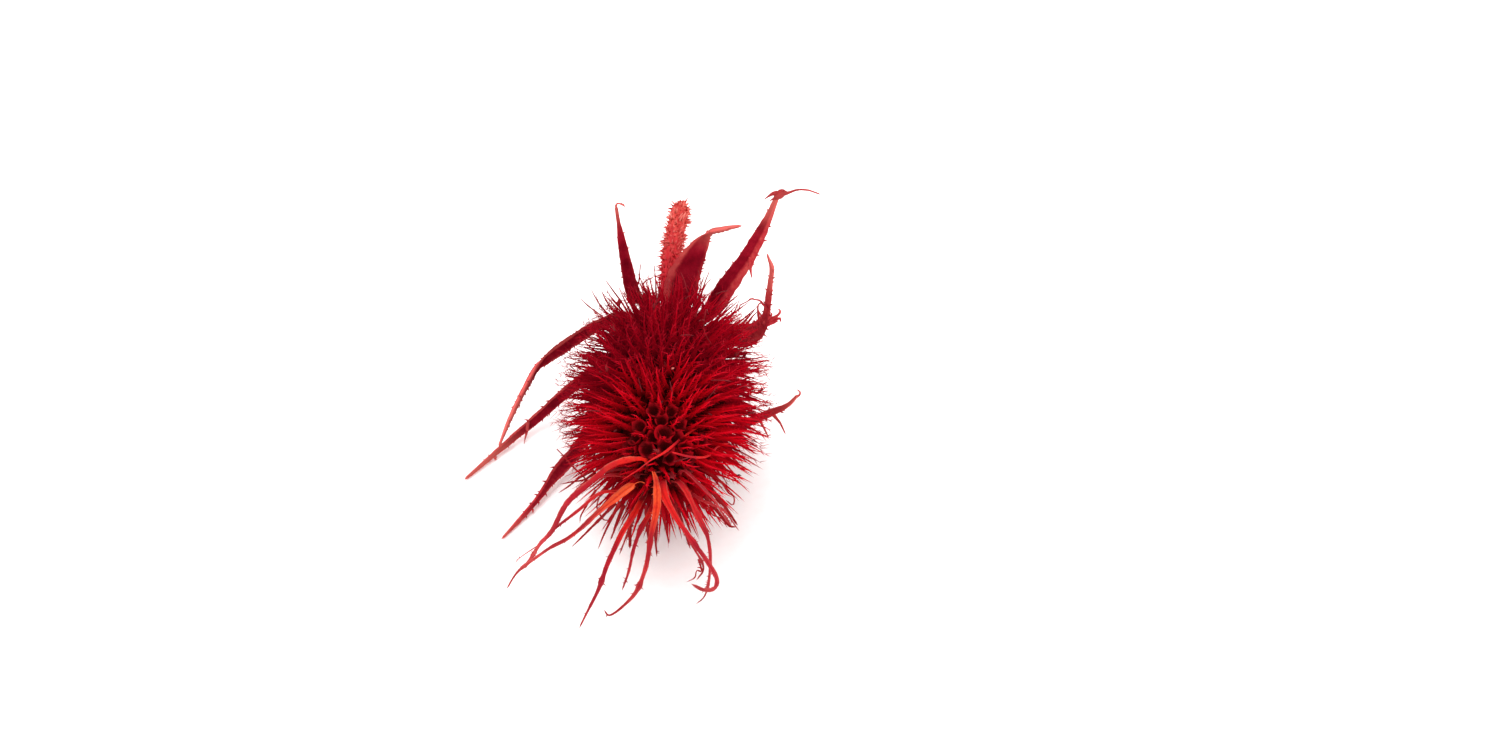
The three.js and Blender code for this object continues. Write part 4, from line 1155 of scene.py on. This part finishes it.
def bractPiece(made, number, finish):
    dice = random.Random(bractMake["seed"] + number)
    path = Path([place(*point[:3]) for point in made["points"]])
    width = widthAlong(made["points"])
    count = round(path.length / mm / bractMake["rowStep"])
    seed = number * 13.7

    def paleTipAt(share):  # painted light: paler towards the tip, where the thin blade lets light through
        return smooth(made["paleTipFrom"] - 0.1, made["paleTipFrom"] + 0.25, share) * 0.8

    def shape(turn, share):
        spot, heading, across, face = bladeAxes(path, share)
        u = math.cos(turn * 2 * math.pi)
        side = math.sin(turn * 2 * math.pi)
        step = share * path.length / mm
        wide = width(share)
        thin = min(1, (1 - share) * 6 + 0.35) * min(1, wide / (1.6 * mm))
        thick = lerp(0.75 * wide / mm, bractMake["thickness"] * thin, smooth(0.9 * mm, 2.4 * mm, wide))
        ragged = 1 + bractMake["ragged"] * noise.noise(Vector((step / 1.3, math.copysign(4, u), seed)))
        wave = noise.noise(Vector((step / 3.2, math.copysign(9, u), seed))) * bractMake["crumple"] * u * u
        wave += noise.noise(Vector((step / 1.4, u * 2.5, seed))) * bractMake["ripple"]
        rib = bractMake["midrib"] * math.exp(-((u / bractMake["midribWidth"]) ** 2)) * max(0, -side)
        out = made["hollow"] * wide / mm * (abs(u) ** 1.5 - 0.45) * 0.8
        out += thick * 0.5 * side * (1 - 0.5 * u * u)
        out += (wave * min(1, wide / (2.4 * mm)) - rib) * thin
        return spot + across * u * ragged * wide / 2 + face * out * mm

    tip = path.at(1) + path.heading(1) * 0.3 * mm
    bm = loft(bractMake["corners"], evenShares(count), shape, tip)
    turn = layer(bm, "turn")
    along = layer(bm, "along")
    light = layer(bm, "light")
    fade = layer(bm, "fade")
    ribs = layer(bm, "ribs")
    # light: lighter along its margins and on its outer face, plus painted light on the lit edge, from each
    # bract's lift and towards the tip
    for vert in bm.verts:
        u = math.cos(vert[turn] * 2 * math.pi)
        inside = math.sin(vert[turn] * 2 * math.pi) > 0
        edge = smooth(0.6, 1, abs(u)) * 0.6
        lit = smooth(made["paleFrom"], made["paleFrom"] + 0.4, u * made["pale"])
        tint = max(edge, lit) + (0 if inside else bractMake["underside"]) + made["lift"]
        vert[light] = min(1, tint + 0.25 * smooth(0.5, 1, vert[along]))
        vert[fade] = max(paleTipAt(vert[along]), lit * made["edgePaleLight"])
        vert[ribs] = 0.5 + 0.5 * math.cos(u * bractMake["ribs"])

    def prickle(share, edge, size, lean):
        spot, heading, across, face = bladeAxes(path, share)
        if edge:
            start = spot + across * edge * width(share) * 0.48 + face * made["hollow"] * width(share) * 0.4
            aim = across * edge + heading * lean
        else:
            start = spot - face * (made["hollow"] * 0.36 * width(share) + 0.3 * mm)
            aim = -face + heading * lean
        cone = coneMesh(size * mm, min(0.24, 0.1 + size * 0.14) * mm, 5, size * 0.12 * mm, 0, 1)
        shine = 0.5 + 0.3 * dice.random()
        addTo(bm, cone, standing(start, aim, heading), keep=False, light=shine, fade=paleTipAt(share), ribs=0.5)

    for edge, often in zip((-1, 1), made["teeth"]):
        at = 1.5
        while at < path.length / mm * 0.9:
            share = at * mm / path.length
            size = made["toothSize"] * dice.uniform(*bractMake["toothSpread"])
            prickle(share, edge, size, dice.uniform(0.1, 1.4))
            at += dice.uniform(0.2, 2) / often
    at = 3
    while at < path.length / mm * 0.8:
        size = dice.uniform(*bractMake["keelLengths"])
        prickle(at * mm / path.length, 0, size, dice.uniform(0.1, 0.8))
        at += bractMake["keelStep"] * dice.uniform(0.6, 1.4)
    addStrands(bm, made["strands"], {"ribs": 0.5}, dice)
    layOnFloor(bm)
    return piece(bm, made["name"] + "_leaf", [finish], "bract", made["name"])


def addStrand(bm, points, dice, **values):  # a rough thread through points that each have a width
    path = Path([place(*point[:3]) for point in points])
    width = widthAlong(points)
    count = max(4, round(path.length / mm / 0.5))
    seed = dice.uniform(0, 50)

    def shape(turn, share):
        heading = path.heading(share)
        across = heading.cross(Vector((0.3, -0.8, 0.5))).normalized()
        out = across.cross(heading)
        grit = 1 + 0.3 * noise.noise(Vector((share * path.length / mm, turn * 3, seed)))
        size = width(share) / 2 * grit
        angle = turn * 2 * math.pi
        return path.at(share) + across * math.cos(angle) * size + out * math.sin(angle) * size * 0.55

    made = loft(6, evenShares(count), shape, path.at(1) + path.heading(1) * 0.2 * mm)
    addTo(bm, asMesh(made), keep=False, **values)


def addStrands(bm, groups, look, dice):  # each group has its own look and one or more routes
    for group in groups:
        values = {**look, **group}
        for points in values.pop("routes"):
            addStrand(bm, points, dice, **values)


# The stem, cut short, with the collar that the bracts grow from
stemMake = {
    "seed": 31,
    "points": [[0, 23.5, 0], [0, 29, 0], [-1.3, 41, -0.4], [-2, 56, -1.2], [-1.3, 80, -4]],
    "collarRadius": 4.8,
    "collarLength": 4.6,
    "shoulder": 3.4,
    "radius": 2,
    "ribs": 12,
    "ribDepth": 0.13,
    "corners": 48,
    "rowStep": 0.8,
    "endRings": [[0, 0.3], [-0.35, 0.25], [-0.15, 0.5]],  # depth and width of each ring on the cut end
    "pithRadius": 1.75,
    "prickles": 760,
    "prickleSpan": [0.085, 0.995],
    "prickleRadius": 0.24,
    "heights": [0.6, 2.2],
    "variants": 6,
}


def stemPiece(finish, endCut):
    dice = random.Random(stemMake["seed"])
    path = Path([place(*point) for point in stemMake["points"]])
    count = round(path.length / mm / stemMake["rowStep"])

    def radius(share):
        shoulder = smooth(stemMake["collarLength"], stemMake["collarLength"] + stemMake["shoulder"],
                          share * path.length / mm)
        return lerp(stemMake["collarRadius"], stemMake["radius"], shoulder)

    def skin(turn, share):
        heading = path.heading(share)
        across = Vector((0, 0, 1)).cross(heading).normalized()
        upward = heading.cross(across)
        angle = turn * 2 * math.pi
        outward = across * math.cos(angle) + upward * math.sin(angle)
        step = share * path.length / mm
        grit = noise.noise(Vector((math.cos(angle) * 1.5, math.sin(angle) * 1.5, step / 2.5))) * 0.14
        rib = stemMake["ribDepth"] * math.cos(stemMake["ribs"] * angle)
        torn = 0.9 * math.cos(3 * angle + 0.6) + 0.9 * noise.noise(Vector((angle * 2, 5, 1))) - 1
        torn *= smooth(0.97, 1, share)
        spot = path.at(share) + heading * torn * mm + outward * (radius(share) + rib + grit) * mm
        return spot, outward

    bm = loft(stemMake["corners"], evenShares(count), lambda turn, share: skin(turn, share)[0])
    bm.faces.ensure_lookup_table()
    end = max(bm.faces, key=lambda face: face.calc_center_median().y if len(face.verts) > 8 else -1)
    for depth, thickness in stemMake["endRings"]:
        bmesh.ops.inset_region(bm, faces=[end], thickness=thickness * mm, depth=depth * mm)
    centre = end.calc_center_median()
    for face in bm.faces:
        away = (face.calc_center_median() - centre).length
        if away < stemMake["pithRadius"] * mm and face.normal.y > 0.3:
            face.material_index = 1
    bmesh.ops.poke(bm, faces=[end])
    thorns = []
    for _ in range(stemMake["variants"]):
        size = dice.uniform(0.9, 1.1) * mm
        bend = dice.uniform(-0.2, 0.35) * mm
        thorns.append(coneMesh(size, stemMake["prickleRadius"] * mm, 5, bend, 0.15, 1))
    for index in range(stemMake["prickles"]):
        share = lerp(*stemMake["prickleSpan"], (index + dice.random()) / stemMake["prickles"])
        spot, outward = skin(dice.random(), share)
        aim = outward + path.heading(share) * dice.uniform(-0.4, 0.6)
        aim += Vector([dice.uniform(-0.4, 0.4) for _ in range(3)])
        height = lerp(*stemMake["heights"], dice.random() ** 1.5)
        matrix = standing(spot - outward * 0.08 * mm, aim, path.heading(share), (1, 1, height))
        addTo(bm, dice.choice(thorns), matrix, prickle=dice.uniform(0.35, 1), along=share)
    return piece(bm, "prickly_stem", [finish, endCut], "stem", "stem")


# Withered florets still caught among the spines, and a few loose threads
floretMake = {
    "seed": 57,
    "count": 46,
    "angles": [38, 138],
    "lifts": [2.5, 7.5],  # millimetres off the core
    "sizes": [0.6, 1.3],
    "threads": 26,
    "threadAngles": [40, 130],
    "threadLift": 8,
    "threadLengths": [1.5, 3.5],
    "threadWidths": [0.16, 0.24],
}
floretSpots = [[-16.4, -2, -12.7, 1.9], [-14.9, -3, -13.4, 1.5], [-13.4, -4, -14.3, 1.3],
               [-15.6, -2.2, -11.6, 1.1], [3.1, -14, 20.6, 0.6]]  # places seen, each with a size


def flakeMesh(length, width, dice):
    bend = dice.uniform(-0.5, 0.5)
    twist = dice.uniform(-1.5, 1.5)

    def shape(turn, share):
        angle = turn * 2 * math.pi
        size = width * math.sin(math.pi * (0.12 + 0.8 * share)) / 2
        spot = Vector((math.cos(angle) * size, math.sin(angle) * 0.07, 0))
        spot.y += 0.5 * spot.x**2 / max(width, 0.1)
        spot.rotate(Quaternion((0, 0, 1), twist * share))
        return (spot + Vector((bend * share**2 * length, 0, share * length))) * mm

    return asMesh(loft(6, evenShares(5), shape))


def florets(finish):
    dice = random.Random(floretMake["seed"])
    bm = bmesh.new()
    spots = [(place(*spot[:3]), spot[3], 0.9) for spot in floretSpots]
    for _ in range(floretMake["count"]):
        polar = math.radians(dice.uniform(*floretMake["angles"]))
        turn = dice.uniform(0, 2 * math.pi)
        spot = corePoint(polar, turn) + coreNormal(polar, turn) * dice.uniform(*floretMake["lifts"]) * mm
        spots.append((spot, dice.uniform(*floretMake["sizes"]), dice.uniform(0, 0.5)))
    for spot, size, tone in spots:
        aim = Vector([dice.uniform(-1, 1) for _ in range(3)]) + (spot - headCentre).normalized()
        flake = flakeMesh(size * 1.5, size * 0.75, dice)
        addTo(bm, flake, standing(spot, aim), keep=False, tone=tone)
    for _ in range(floretMake["threads"]):
        polar = math.radians(dice.uniform(*floretMake["threadAngles"]))
        turn = dice.uniform(-1.5, 1.5)
        root = corePoint(polar, turn) + coreNormal(polar, turn) * floretMake["threadLift"] * mm
        drift = Vector([dice.uniform(-1, 1) for _ in range(3)]) * 3 * mm
        grown = coreNormal(polar, turn) * dice.uniform(*floretMake["threadLengths"]) * mm
        path = Path([root, root + grown * 0.6 + drift * 0.5, root + grown + drift])
        size = dice.uniform(*floretMake["threadWidths"])

        def shape(turn, share, path=path, size=size):
            across = path.heading(share).orthogonal().normalized()
            out = across.cross(path.heading(share))
            angle = turn * 2 * math.pi
            return path.at(share) + (across * math.cos(angle) + out * math.sin(angle)) * size / 2 * mm

        thread = asMesh(loft(4, evenShares(5), shape, path.at(1)))
        addTo(bm, thread, keep=False, tone=dice.uniform(0.1, 0.5))
    return piece(bm, "withered_florets", [finish], "head", "spiny_head")


def setStudio():
    cameraData = bpy.data.cameras.new("camera")
    cameraData.lens = studio["lens"]
    cameraData.clip_start, cameraData.clip_end = studio["clip"]
    camera = bpy.data.objects.new("camera", cameraData)
    camera.location = Vector(studio["camera"]) * mm
    camera.rotation_euler = Vector(studio["looksAlong"]).to_track_quat("-Z", "Y").to_euler()
    bpy.context.scene.collection.objects.link(camera)
    bpy.context.scene.camera = camera

    bm = bmesh.new()
    bmesh.ops.create_grid(bm, x_segments=1, y_segments=1, size=studio["floorSize"])
    floor = bpy.data.objects.new("floor", asMesh(bm, "floor"))
    bpy.context.scene.collection.objects.link(floor)
    finish = Finish("pale floor", 0.7, 0.2)
    grain = finish.grain(300, 3)
    colour = finish.mix(grain, paint(studio["floorColour"]), paint("#ffffff"))
    floor.data.materials.append(finish.done(colour, grain, 0.02, 0.1))

    world = bpy.data.worlds.new("studio")
    world.use_nodes = True
    sky = world.node_tree.nodes["Background"].inputs
    sky["Color"].default_value = (1, 1, 1, 1)
    sky["Strength"].default_value = studio["skyStrength"]
    bpy.context.scene.world = world
    for each in studio["lights"]:
        light = bpy.data.lights.new(each["name"], "AREA")
        light.shape = "DISK"
        light.size = each["size"]
        light.energy = each["power"]
        lamp = bpy.data.objects.new(each["name"], light)
        lamp.location = each["spot"]
        lamp.rotation_euler = (headCentre - lamp.location).to_track_quat("-Z", "Y").to_euler()
        bpy.context.scene.collection.objects.link(lamp)
    bpy.context.scene.view_settings.view_transform = "Standard"
    print("studio set")


setStudio()
found = obstacles()
seedCore(coreFinish())
seedSpines(spineFinish(), found)
crownAwns(awnFinish(), found)
leaf = bractFinish()
for number, made in enumerate(bracts):
    bractPiece(made, number, leaf)
stemPiece(stemFinish(), endFinish())
florets(strawFinish())
